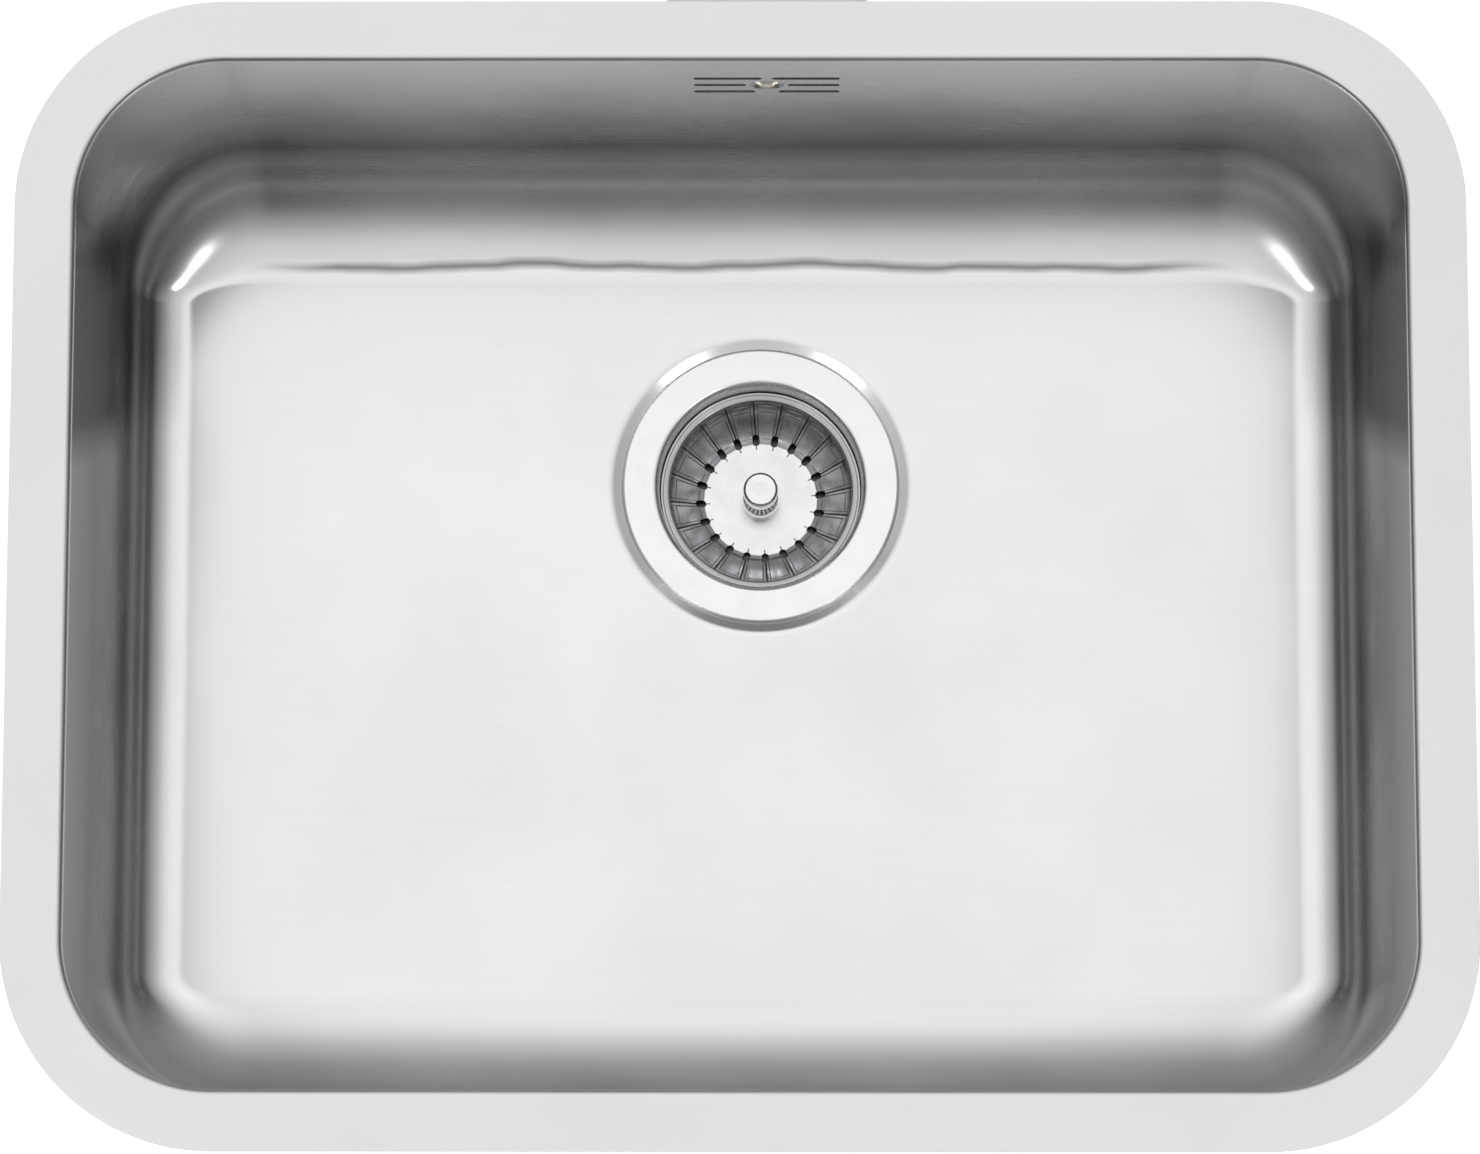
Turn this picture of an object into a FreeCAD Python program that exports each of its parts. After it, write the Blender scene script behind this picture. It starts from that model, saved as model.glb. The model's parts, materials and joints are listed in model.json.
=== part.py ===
import FreeCAD, Part
import math
import os
import Sketcher

# Undermount kitchen sink: a pressed steel bowl with its basket strainer waste and its overflow.
# Millimetres. +X runs to the right, +Y to the back and +Z up. The origin is the centre of the
# rim's top face, which is the face that the worktop sits on.

Vector = FreeCAD.Vector
Rotation = FreeCAD.Rotation

DRIVING_SIZES = {
    # bowl: one sheet, with a flat rim round an opening with vertical walls
    "rim_width": 540, "rim_length": 428, "rim_flange": 22.5, "rim_corner": 78,
    "rim_bend": 2.5, "sheet_gauge": 1, "bowl_depth": 190, "side_sweep": 23, "back_sweep": 46,
    "front_sweep": 42, "waste_across": 7.5, "waste_back": 61.5, "waste_hole_radius": 45,
    "recess_radius": 60, "recess_depth": 3, "recess_slope": 3, "recess_bend": 2,
    # sound pad under the bowl's floor
    "pad_width": 300, "pad_length": 110, "pad_thickness": 2.5, "pad_corner": 12, "pad_gap": 18,
    # overflow slots and the dished screw seat in the bowl's back wall
    "overflow_across": 10, "overflow_drop": 40, "slot_height": 3.6, "slot_pitch": 10.4,
    "slot_reach": 27.8, "top_slot_start": 2, "middle_slot_start": 8, "low_slot_start": 4.5,
    "dish_radius": 6.5, "dish_slope": 1.6, "dish_depth": 2, "screw_hole_gap": 0.3,
    # overflow housing, its gasket, screw and insert
    "housing_width": 76, "housing_height": 46, "housing_depth": 33, "housing_wall": 3,
    "housing_corner": 9, "housing_bevel": 4, "gasket_thickness": 2.5, "gasket_land": 5,
    "boss_radius": 6.5, "boss_front": 9, "insert_radius": 4, "insert_length": 8,
    "overflow_screw_radius": 2.5, "overflow_screw_length": 16, "overflow_head_radius": 4.4,
    "overflow_head_height": 2.2, "overflow_head_bevel": 0.9, "drive_slot_width": 1.2,
    "drive_slot_depth": 1, "insert_gap": 0.05, "screw_room": 1,
    # overflow pipe and its two couplings
    "pipe_radius": 10, "pipe_wall": 1.6, "pipe_bend": 32, "pipe_standoff": 21,
    "pipe_insertion": 14, "pipe_gap": 0.3, "spigot_wall": 2.7, "spigot_length": 18,
    "nut_wall": 3.9, "nut_skirt": 13, "nut_cap": 7, "nut_lid": 1.6, "nut_gap": 0.1,
    "nut_flute_radius": 2, "nut_flute_depth": 0.9, "nut_flutes": 12,
    "cone_seal_height": 5, "cone_seal_taper": 1.5, "seal_gap": 0.15,
    # steel waste flange: a ring with a deep cup and a drain well
    "ring_radius": 55.5, "ring_lip_gap": 0.2, "ring_seal_thickness": 1, "ring_seal_inset": 1.5,
    "ring_seal_width": 8, "cup_gauge": 1, "cup_radius": 41.2, "cup_lip_bend": 3,
    "cup_low_radius": 38.8, "cup_depth": 43.5, "cup_floor_bend": 4, "well_radius": 17.5,
    "well_depth": 9, "drain_hole_radius": 3.4, "drain_circle_radius": 13.2, "drain_holes": 6,
    # strainer basket, with the pieces on its stem
    "basket_gauge": 0.8, "basket_collar_radius": 38, "basket_rim_width": 2.1,
    "basket_collar_rise": 9, "basket_cone_rise": 14, "basket_disc_radius": 23.5,
    "basket_facets": 20, "basket_slot_width": 2.5, "basket_slot_length": 3.7,
    "basket_slot_angle": 94.5, "basket_skirt": 1, "basket_rest_gap": 0.3,
    "plug_radius": 20.5, "plug_thickness": 4.5, "retainer_radius": 14, "retainer_gauge": 1,
    "stem_radius": 2.45, "stem_gap": 0.05, "stem_in_knob": 14, "stem_foot_radius": 3.3,
    "stem_foot_height": 2, "stem_nut_flats": 8, "stem_nut_height": 4,
    "knob_height": 28, "knob_cap_radius": 7, "knob_cap_height": 10, "knob_waist_radius": 5.2,
    "knob_foot_radius": 7.2, "knob_foot_height": 3, "knob_neck": 3, "knob_bevel": 1,
    "clip_length": 10, "clip_wall": 1, "clip_gap": 0.1, "clip_slit": 0.8, "clip_play": 0.2,
    "clip_fingers": 4,
    # hollow screw that clamps the waste, and the threaded insert that it pulls on
    "clamp_radius": 5, "clamp_head_radius": 8, "clamp_head_height": 2.5, "clamp_length": 17,
    "clamp_bevel": 0.6, "clamp_hole_gap": 0.1, "nut_radius": 7, "nut_length": 14, "hub_lid": 1.5,
    # plastic waste body under the bowl
    "body_seal_thickness": 3, "body_seal_width": 7.3, "body_seal_inset": 1.2,
    "body_flange_radius": 54, "body_flange_thickness": 4, "chamber_radius": 45.5,
    "body_wall": 3, "chamber_depth": 40, "cone_drop": 21, "outlet_bore_radius": 20.5,
    "outlet_radius": 23.9, "outlet_length": 22, "outlet_collar_height": 4,
    "outlet_collar_width": 3.5, "hub_radius": 9.5, "hub_length": 17.5, "hub_ribs": 3,
    "rib_width": 3, "rib_top": 6, "inlet_drop": 28, "inlet_length": 24,
}

document = FreeCAD.newDocument("undermount_sink")
sheet = document.addObject("Spreadsheet::Sheet", "Sizes")
for row, (alias, amount) in enumerate(DRIVING_SIZES.items(), start=1):
    sheet.set(f"B{row}", str(amount))
    sheet.setAlias(f"B{row}", alias)
document.recompute()


class Size:
    """A dimension that knows its present value and the sheet expression that drives it."""

    def __init__(self, value, text):
        self.value = value
        self.text = text

    def combine(self, other, sign, result):
        return Size(result, f"({self.text} {sign} {other.text})")

    def __add__(self, other):
        other = as_size(other)
        return self.combine(other, "+", self.value + other.value)

    def __sub__(self, other):
        other = as_size(other)
        return self.combine(other, "-", self.value - other.value)

    def __mul__(self, other):
        other = as_size(other)
        return self.combine(other, "*", self.value * other.value)

    def __truediv__(self, other):
        other = as_size(other)
        return self.combine(other, "/", self.value / other.value)

    def __neg__(self):
        return Size(-self.value, f"(0 - {self.text})")


def as_size(amount):
    """Wrap a plain number, and leave a Size alone."""
    return amount if isinstance(amount, Size) else Size(amount, f"{amount}")


class Sheet:
    """Gives each driving dimension of the sheet as a Size, by its alias."""

    def __getattr__(self, alias):
        return Size(float(sheet.get(alias)), f"Sizes.{alias}")


dim = Sheet()
ZERO = as_size(0)

# A sketch's own origin and axes, as its constraints name them.
ORIGIN_POINT = (-1, 1)
LEVEL_AXIS = -1
UPRIGHT_AXIS = -2

# Shares of a neighbouring size.
ROUND_END = 0.45        # corner of a round-ended slot, of its width
SQUARE_END = 0.2        # corner of a sawn slot, of its width
EDGE_ROUNDING = 0.8     # softened edge of a sheet, of its gauge
SLIT_DEPTH = 0.7        # slits of the spring clip, of its length
PUNCH_REACH = 3         # run of a punch that goes right through a sheet, in gauges
SEAM_OVERLAP = 0.25     # gauge shared by two walls that are joined, of that gauge

# Heights and places that more than one piece shares.
opening_width = dim.rim_width - dim.rim_flange * 2
opening_length = dim.rim_length - dim.rim_flange * 2
opening_corner = dim.rim_corner - dim.rim_flange
back_wall = opening_length / 2 + dim.sheet_gauge
floor = -dim.bowl_depth
floor_underside = floor - dim.sheet_gauge
recess_floor = floor - dim.recess_depth
recess_underside = recess_floor - dim.sheet_gauge
ring_top = recess_floor + dim.ring_seal_thickness + dim.cup_gauge
cup_floor = ring_top - dim.cup_depth
well_floor = cup_floor - dim.well_depth
well_underside = well_floor - dim.cup_gauge
disc_underside = cup_floor + dim.plug_thickness
disc_top = disc_underside + dim.basket_gauge
facet_top = disc_top + dim.basket_cone_rise
basket_rim = facet_top + dim.basket_collar_rise
cup_ledge = basket_rim - dim.basket_gauge - dim.basket_rest_gap
body_top = recess_underside - dim.body_seal_thickness
chamber_floor = body_top - dim.chamber_depth
cone_floor = chamber_floor - dim.cone_drop
inlet_height = recess_underside - dim.inlet_drop
spigot_bore = dim.pipe_radius + dim.pipe_gap
spigot_radius = spigot_bore + dim.spigot_wall
inlet_end = dim.waste_back + dim.chamber_radius + dim.body_wall + dim.inlet_length
housing_front = dim.gasket_thickness
housing_back = housing_front + dim.housing_depth
housing_bottom = -(dim.housing_height / 2)
spigot_end = housing_bottom - dim.spigot_length
pipe_back = back_wall + dim.pipe_standoff
stem_foot_top = well_underside - dim.clip_length - dim.clip_play


def bind(item, **sizes):
    """Tie properties of an object to the sheet; a double underscore stands for a dot."""
    for name, size in sizes.items():
        item.setExpression(name.replace("__", "."), as_size(size).text)


def place(item, across=ZERO, back=ZERO, height=ZERO, rotation=None):
    """Put an object at a place that follows the sheet."""
    if rotation is not None:
        item.Placement = FreeCAD.Placement(Vector(), rotation)
    bind(item, Placement__Base__x=across, Placement__Base__y=back, Placement__Base__z=height)


def add(kind, name, **sizes):
    """Add an object with its sizes bound to the sheet."""
    item = document.addObject(kind, name)
    bind(item, **sizes)
    return item


def new_body(label, base=None):
    """Start a body; its label is the name of its file."""
    body = document.addObject("PartDesign::Body", label)
    body.Label = label
    if base is not None:
        body.BaseFeature = base
    return body


def new_sketch(body, plane, offset=ZERO):
    """Sketch on one of the body's own planes, moved along the plane's normal."""
    sketch = body.newObject("Sketcher::SketchObject", f"{body.Name}_sketch")
    origin = {item.Role: item for item in body.Origin.OriginFeatures}[plane]
    sketch.AttachmentSupport = [(origin, "")]
    sketch.MapMode = "FlatFace"
    bind(sketch, AttachmentOffset__Base__z=offset)
    return sketch


def fix_value(sketch, kind, *where, size):
    """Add a driven constraint whose value follows the sheet."""
    number = sketch.addConstraint(Sketcher.Constraint(kind, *where, size.value))
    sketch.setExpression(f"Constraints[{number}]", size.text)


def fix_point(sketch, geometry, point, across, up):
    """Hold a point of a sketch at a place that follows the sheet."""
    for kind, size, axis in (("DistanceX", across, UPRIGHT_AXIS), ("DistanceY", up, LEVEL_AXIS)):
        if size is ZERO:
            sketch.addConstraint(Sketcher.Constraint("PointOnObject", geometry, point, axis))
        else:
            fix_value(sketch, kind, *ORIGIN_POINT, geometry, point, size=size)


def draw_polygon(sketch, corners):
    """Draw a closed outline of straight lines through corners of (across, up) sizes."""
    places = [Vector(across.value, up.value, 0) for across, up in corners]
    count = len(places)
    first = sketch.GeometryCount
    for corner in range(count):
        line = Part.LineSegment(places[corner], places[(corner + 1) % count])
        sketch.addGeometry(line, False)
    for corner in range(count):
        after = first + (corner + 1) % count
        sketch.addConstraint(Sketcher.Constraint("Coincident", first + corner, 2, after, 1))
        fix_point(sketch, first + corner, 1, *corners[corner])


def draw_circle(sketch, radius, across=ZERO, up=ZERO):
    """Draw a circle."""
    centre = Vector(across.value, up.value, 0)
    number = sketch.addGeometry(Part.Circle(centre, Vector(0, 0, 1), radius.value), False)
    fix_point(sketch, number, 3, across, up)
    fix_value(sketch, "Radius", number, size=radius)


def draw_rounded_box(sketch, width, height, corner, across=ZERO, up=ZERO):
    """Draw a rectangle with round corners about a centre."""
    reach = width / 2 - corner
    rise = height / 2 - corner
    quarters = [(reach, rise), (-reach, rise), (-reach, -rise), (reach, -rise)]
    arcs = []
    for quarter, (shift, lift) in enumerate(quarters):
        centre_across = across + shift
        centre_up = up + lift
        centre = Vector(centre_across.value, centre_up.value, 0)
        circle = Part.Circle(centre, Vector(0, 0, 1), corner.value)
        start = quarter * math.pi / 2
        arc = Part.ArcOfCircle(circle, start, start + math.pi / 2)
        number = sketch.addGeometry(arc, False)
        arcs.append(number)
        fix_point(sketch, number, 3, centre_across, centre_up)
        if quarter == 0:
            fix_value(sketch, "Radius", number, size=corner)
        else:
            sketch.addConstraint(Sketcher.Constraint("Equal", arcs[0], number))
    for quarter in range(4):
        here = arcs[quarter]
        after = arcs[(quarter + 1) % 4]
        start = sketch.Geometry[here].EndPoint
        end = sketch.Geometry[after].StartPoint
        line = sketch.addGeometry(Part.LineSegment(start, end), False)
        sketch.addConstraint(Sketcher.Constraint("Tangent", here, 2, line, 1))
        sketch.addConstraint(Sketcher.Constraint("Tangent", line, 2, after, 1))


def turn(body, corners, kind="PartDesign::Revolution"):
    """Turn an outline of (radius, height) corners about the body's upright axis."""
    sketch = new_sketch(body, "XZ_Plane")
    draw_polygon(sketch, corners)
    feature = body.newObject(kind, f"{body.Name}_turned")
    feature.Profile = sketch
    feature.ReferenceAxis = (sketch, ["V_Axis"])
    feature.Angle = 360
    return feature


def push(body, sketch, length, kind="PartDesign::Pad", **settings):
    """Pad or pocket a sketch by a length that follows the sheet."""
    feature = body.newObject(kind, f"{body.Name}_push")
    feature.Profile = sketch
    bind(feature, Length=length)
    for name, setting in settings.items():
        setattr(feature, name, setting)
    return feature


def ring_of(body, feature, count):
    """Repeat a feature evenly round the body's upright axis."""
    pattern = body.newObject("PartDesign::PolarPattern", f"{body.Name}_ring")
    pattern.Originals = [feature]
    axis = {item.Role: item for item in body.Origin.OriginFeatures}["Z_Axis"]
    pattern.Axis = (axis, [""])
    pattern.Angle = 360
    bind(pattern, Occurrences=count)
    body.Tip = pattern
    return pattern


def near(first, second):
    """Whether two measured lengths are the same."""
    return abs(first - second) < 1e-4


def level_edges(shape, height, accept):
    """Name the edges that lie level at a height and that a test accepts."""
    names = []
    for number, edge in enumerate(shape.Edges, start=1):
        box = edge.BoundBox
        if near(box.ZMin, height.value) and near(box.ZMax, height.value) and accept(edge):
            names.append(f"Edge{number}")
    return names


def circle_edges(shape, radius, height):
    """Name the full or part circles of a radius at a height."""
    def fits(edge):
        return hasattr(edge.Curve, "Radius") and near(edge.Curve.Radius, radius.value)
    return level_edges(shape, height, fits)


def round_edges(body, names, radius, kind="PartDesign::Fillet", prop="Radius"):
    """Round or bevel named edges of the body's last feature."""
    base = body.Tip
    feature = body.newObject(kind, f"{body.Name}_edge")
    feature.Base = (base, names)
    bind(feature, **{prop: radius})
    document.recompute()
    return feature


def on_waste(body):
    """Stand a turned piece on the waste's upright axis."""
    place(body, across=dim.waste_across, back=dim.waste_back)
    return body


def turned_piece(label, corners):
    """Make a turned piece that stands on the waste's axis."""
    body = on_waste(new_body(label))
    turn(body, corners)
    document.recompute()
    return body


def washer_corners(inner, outer, bottom, top):
    """Corners of a plain ring's section."""
    return [(inner, bottom), (outer, bottom), (outer, top), (inner, top)]


# ---- bowl ----

def extrude_outline(name, width, length, corner, depth):
    """Extrude a rounded rectangle downwards from the rim's top face."""
    outline = document.addObject("Sketcher::SketchObject", f"{name}_outline")
    draw_rounded_box(outline, width, length, corner)
    block = add("Part::Extrusion", name, LengthFwd=depth)
    block.Base = outline
    block.DirMode = "Custom"
    block.Dir = Vector(0, 0, -1)
    block.Solid = True
    return block


def swept_block(name, skin, depth):
    """The bowl's block, grown by a skin, with its bottom edge swept into the floor."""
    width = opening_width + skin * 2
    length = opening_length + skin * 2
    block = extrude_outline(name, width, length, opening_corner + skin, depth)
    document.recompute()
    half_width = width.value / 2

    def sweep_at(point):
        """Radius of the sweep at an end of an edge, from the wall that it lies on."""
        if near(abs(point.x), half_width):
            return (dim.side_sweep + skin).value
        wall_sweep = dim.back_sweep if point.y > 0 else dim.front_sweep
        return (wall_sweep + skin).value

    edges = []
    for number, edge in enumerate(block.Shape.Edges, start=1):
        if not near(edge.BoundBox.ZMax, -depth.value):
            continue
        first = sweep_at(edge.valueAt(edge.FirstParameter))
        last = sweep_at(edge.valueAt(edge.LastParameter))
        edges.append((number, first, last))
    rounded = document.addObject("Part::Fillet", f"{name}_swept")
    rounded.Base = block
    rounded.Edges = edges
    return rounded


def join(name, items):
    """Fuse solids into one, with no seams left between their faces."""
    fused = document.addObject("Part::MultiFuse", name)
    fused.Shapes = items
    fused.Refine = True
    return fused


def cut(name, base, tool):
    """Cut one solid from another."""
    result = document.addObject("Part::Cut", name)
    result.Base = base
    result.Tool = tool
    result.Refine = True
    return result


def cone(name, low, high, rise, **where):
    """A cone frustum standing at a place."""
    item = add("Part::Cone", name, Radius1=low, Radius2=high, Height=rise)
    place(item, **where)
    return item


def wall_slots():
    """Six slots of the overflow, three each side of its screw."""
    starts = [(1, dim.top_slot_start), (0, dim.middle_slot_start), (-1, dim.low_slot_start)]
    behind = dim.sheet_gauge * 2
    slots = []
    for row, start in starts:
        for side in (-1, 1):
            reach = dim.slot_reach - start
            slot = add("Part::Box", "overflow_slot", Length=reach, Height=dim.slot_height,
                       Width=behind + dim.sheet_gauge)
            left = start if side > 0 else -dim.slot_reach
            middle = dim.slot_pitch * row - dim.overflow_drop
            place(slot, across=dim.overflow_across + left, back=back_wall - behind,
                  height=middle - dim.slot_height / 2)
            slots.append(slot)
    return slots


def make_bowl():
    """Press the bowl out of one sheet, and punch its waste hole and overflow."""
    waste = {"across": dim.waste_across, "back": dim.waste_back}
    towards_back = Rotation(Vector(1, 0, 0), -90)
    screw = {"across": dim.overflow_across, "height": -dim.overflow_drop, "rotation": towards_back}
    gauge = dim.sheet_gauge
    low_radius = dim.recess_radius - dim.recess_slope
    dish_low = dim.dish_radius - dim.dish_slope
    rim_plate = extrude_outline("rim_plate", dim.rim_width, dim.rim_length, dim.rim_corner, gauge)
    outside = swept_block("bowl_outside", gauge, dim.bowl_depth + gauge)
    inside = swept_block("bowl_inside", ZERO, dim.bowl_depth)
    recess_back = cone("recess_back", low_radius + gauge, dim.recess_radius + gauge,
                       dim.recess_depth, height=recess_underside, **waste)
    recess_front = cone("recess_front", low_radius, dim.recess_radius, dim.recess_depth,
                        height=recess_floor, **waste)
    dish_back = cone("dish_back", dim.dish_radius + gauge, dish_low + gauge, dim.dish_depth,
                     back=back_wall, **screw)
    dish_front = cone("dish_front", dim.dish_radius, dish_low, dim.dish_depth,
                      back=back_wall - gauge, **screw)
    screw_hole = add("Part::Cylinder", "screw_hole", Height=gauge * PUNCH_REACH * 2,
                     Radius=dim.overflow_screw_radius + dim.screw_hole_gap)
    place(screw_hole, back=back_wall - gauge * 2, **screw)
    waste_hole = add("Part::Cylinder", "waste_hole", Radius=dim.waste_hole_radius,
                     Height=dim.recess_depth + gauge * PUNCH_REACH)
    place(waste_hole, height=recess_underside - gauge, **waste)
    blank = join("bowl_blank", [rim_plate, outside, recess_back, dish_back])
    hollow = join("bowl_hollow",
                  [inside, recess_front, dish_front, screw_hole, waste_hole] + wall_slots())
    pressed = cut("bowl_pressed", blank, hollow)
    document.recompute()
    body = new_body("bowl", pressed)
    document.recompute()
    finish_bowl(body, low_radius)
    return body


def finish_bowl(body, low_radius):
    """Round the bends of the rim and of the waste's recess."""
    def opening_edges(height, margin):
        across = (opening_width / 2 + margin).value + 1e-3
        back = (opening_length / 2 + margin).value + 1e-3

        def in_opening(edge):
            box = edge.BoundBox
            return max(-box.XMin, box.XMax) < across and max(-box.YMin, box.YMax) < back
        return level_edges(body.Tip.Shape, height, in_opening)

    gauge = dim.sheet_gauge
    round_edges(body, opening_edges(ZERO, 0), dim.rim_bend)
    round_edges(body, opening_edges(-gauge, gauge), dim.rim_bend - gauge)
    names = circle_edges(body.Tip.Shape, dim.recess_radius, floor)
    names += circle_edges(body.Tip.Shape, low_radius + gauge, recess_underside)
    round_edges(body, names, dim.recess_bend)


def make_sound_pad():
    """A damping pad stuck under the floor, in front of the waste."""
    body = new_body("sound_deadening_pad")
    sketch = new_sketch(body, "XY_Plane")
    draw_rounded_box(sketch, dim.pad_width, dim.pad_length, dim.pad_corner)
    push(body, sketch, dim.pad_thickness, Reversed=True)
    back_edge = dim.waste_back - dim.recess_radius - dim.pad_gap
    place(body, back=back_edge - dim.pad_length / 2, height=floor_underside)
    return body


# ---- waste ----

def make_waste_flange():
    """The steel ring and cup that line the waste hole, with the drain well below."""
    gauge = dim.cup_gauge
    cup_outside = dim.cup_radius + gauge
    low_outside = dim.cup_low_radius + gauge
    well_outside = dim.well_radius + gauge
    bore = dim.clamp_radius + dim.clamp_hole_gap
    lip_foot = recess_floor + dim.ring_lip_gap
    body = turned_piece("waste_flange", [
        (dim.ring_radius, ring_top), (dim.cup_radius, ring_top),
        (dim.cup_radius, cup_ledge), (dim.cup_low_radius, cup_ledge),
        (dim.cup_low_radius, cup_floor), (dim.well_radius, cup_floor),
        (dim.well_radius, well_floor), (bore, well_floor),
        (bore, well_underside), (well_outside, well_underside),
        (well_outside, cup_floor - gauge), (low_outside, cup_floor - gauge),
        (low_outside, cup_ledge - gauge), (cup_outside, cup_ledge - gauge),
        (cup_outside, ring_top - gauge), (dim.ring_radius - gauge, ring_top - gauge),
        (dim.ring_radius - gauge, lip_foot), (dim.ring_radius, lip_foot)])
    sketch = new_sketch(body, "XY_Plane", well_underside - gauge)
    draw_circle(sketch, dim.drain_hole_radius, up=dim.drain_circle_radius)
    hole = push(body, sketch, gauge * PUNCH_REACH, "PartDesign::Pocket", Reversed=True)
    ring_of(body, hole, dim.drain_holes)
    document.recompute()
    shape = body.Tip.Shape
    names = circle_edges(shape, dim.cup_radius, ring_top)
    round_edges(body, names, dim.cup_lip_bend)
    names = circle_edges(body.Tip.Shape, cup_outside, ring_top - gauge)
    round_edges(body, names, dim.cup_lip_bend - gauge)
    names = circle_edges(body.Tip.Shape, dim.cup_low_radius, cup_floor)
    round_edges(body, names, dim.cup_floor_bend)
    names = circle_edges(body.Tip.Shape, low_outside, cup_floor - gauge)
    round_edges(body, names, dim.cup_floor_bend + gauge)
    names = circle_edges(body.Tip.Shape, dim.ring_radius, ring_top)
    round_edges(body, names, gauge * EDGE_ROUNDING)
    return body


def make_waste_seals():
    """The seal under the steel ring and the gasket under the bowl."""
    outer = dim.ring_radius - dim.cup_gauge - dim.ring_seal_inset
    turned_piece("waste_flange_seal", washer_corners(
        outer - dim.ring_seal_width, outer, recess_floor,
        recess_floor + dim.ring_seal_thickness))
    inner = dim.waste_hole_radius + dim.body_seal_inset
    turned_piece("waste_body_gasket", washer_corners(
        inner, inner + dim.body_seal_width, body_top, recess_underside))


def make_clamp():
    """The hollow screw through the cup, and the threaded insert in the body's hub."""
    bore = dim.stem_radius + dim.stem_gap + dim.clip_wall + dim.clip_gap
    head_top = well_floor + dim.clamp_head_height
    bevel = dim.clamp_bevel
    turned_piece("waste_clamp_screw", [
        (bore, head_top), (dim.clamp_head_radius - bevel, head_top),
        (dim.clamp_head_radius, head_top - bevel), (dim.clamp_head_radius, well_floor),
        (dim.clamp_radius, well_floor), (dim.clamp_radius, well_floor - dim.clamp_length),
        (bore, well_floor - dim.clamp_length)])
    insert_top = well_underside - dim.hub_lid
    turned_piece("waste_insert_nut", washer_corners(
        dim.clamp_radius + dim.insert_gap, dim.nut_radius,
        insert_top - dim.nut_length, insert_top))


def make_waste_body():
    """The plastic body: chamber, cone and threaded outlet, with a hub on ribs and an inlet."""
    wall = dim.body_wall
    flange_foot = body_top - dim.body_flange_thickness
    collar_foot = cone_floor - dim.outlet_collar_height
    outlet_foot = collar_foot - dim.outlet_length
    chamber_outside = dim.chamber_radius + wall
    collar_radius = dim.outlet_radius + dim.outlet_collar_width
    body = turned_piece("waste_body", [
        (ZERO, body_top), (dim.body_flange_radius, body_top),
        (dim.body_flange_radius, flange_foot), (chamber_outside, flange_foot),
        (chamber_outside, chamber_floor), (collar_radius, cone_floor),
        (collar_radius, collar_foot), (dim.outlet_radius, collar_foot),
        (dim.outlet_radius, outlet_foot), (ZERO, outlet_foot)])
    inlet_across = dim.overflow_across - dim.waste_across
    inlet_reach = inlet_end - dim.waste_back
    sketch = new_sketch(body, "XZ_Plane")
    draw_circle(sketch, spigot_radius, across=inlet_across, up=inlet_height)
    push(body, sketch, inlet_reach, Reversed=True)
    turn(body, [
        (ZERO, body_top + wall), (dim.chamber_radius, body_top + wall),
        (dim.chamber_radius, chamber_floor), (dim.outlet_bore_radius, cone_floor),
        (dim.outlet_bore_radius, outlet_foot - wall), (ZERO, outlet_foot - wall)],
        "PartDesign::Groove")
    sketch = new_sketch(body, "XZ_Plane")
    draw_circle(sketch, spigot_bore, across=inlet_across, up=inlet_height)
    push(body, sketch, inlet_reach + wall, "PartDesign::Pocket")
    rib_top = well_underside - dim.rib_top
    hub_foot = well_underside - dim.hub_length
    slope = (dim.chamber_radius - dim.outlet_bore_radius) / dim.cone_drop
    rib_reach = dim.outlet_bore_radius + slope * (rib_top - cone_floor) + wall / 2
    turn(body, washer_corners(dim.clamp_radius + dim.screw_hole_gap, dim.hub_radius,
                              hub_foot, well_underside))
    sketch = new_sketch(body, "XZ_Plane")
    root = dim.hub_radius - wall / 2
    throat = dim.outlet_bore_radius + wall / 2
    draw_polygon(sketch, [(root, hub_foot), (root, rib_top), (rib_reach, rib_top),
                          (throat, cone_floor), (throat, hub_foot)])
    rib = push(body, sketch, dim.rib_width, Midplane=True)
    ring_of(body, rib, dim.hub_ribs)
    document.recompute()
    insert_bore = dim.nut_radius + dim.insert_gap
    insert_top = well_underside - dim.hub_lid
    turn(body, [(ZERO, insert_top), (insert_bore, insert_top),
                (insert_bore, hub_foot - wall), (ZERO, hub_foot - wall)], "PartDesign::Groove")
    return body


# ---- strainer basket ----

def facet_block(name, low_radius, high_radius, low, high):
    """A faceted frustum between two polygons."""
    sections = []
    for radius, height in ((low_radius, low), (high_radius, high)):
        polygon = add("Part::RegularPolygon", f"{name}_section", Circumradius=radius)
        bind(polygon, Polygon=dim.basket_facets)
        place(polygon, height=height)
        bind(polygon, Placement__Rotation__Angle=dim.basket_slot_angle)
        sections.append(polygon)
    loft = document.addObject("Part::Loft", name)
    loft.Sections = sections
    loft.Solid = True
    loft.Ruled = True
    return loft


def tube(name, inner, outer, bottom, top):
    """A plain upright tube."""
    shell = add("Part::Cylinder", f"{name}_outside", Radius=outer, Height=top - bottom)
    core = add("Part::Cylinder", f"{name}_inside", Radius=inner, Height=top - bottom)
    place(shell, height=bottom)
    place(core, height=bottom)
    return cut(name, shell, core)


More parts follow.
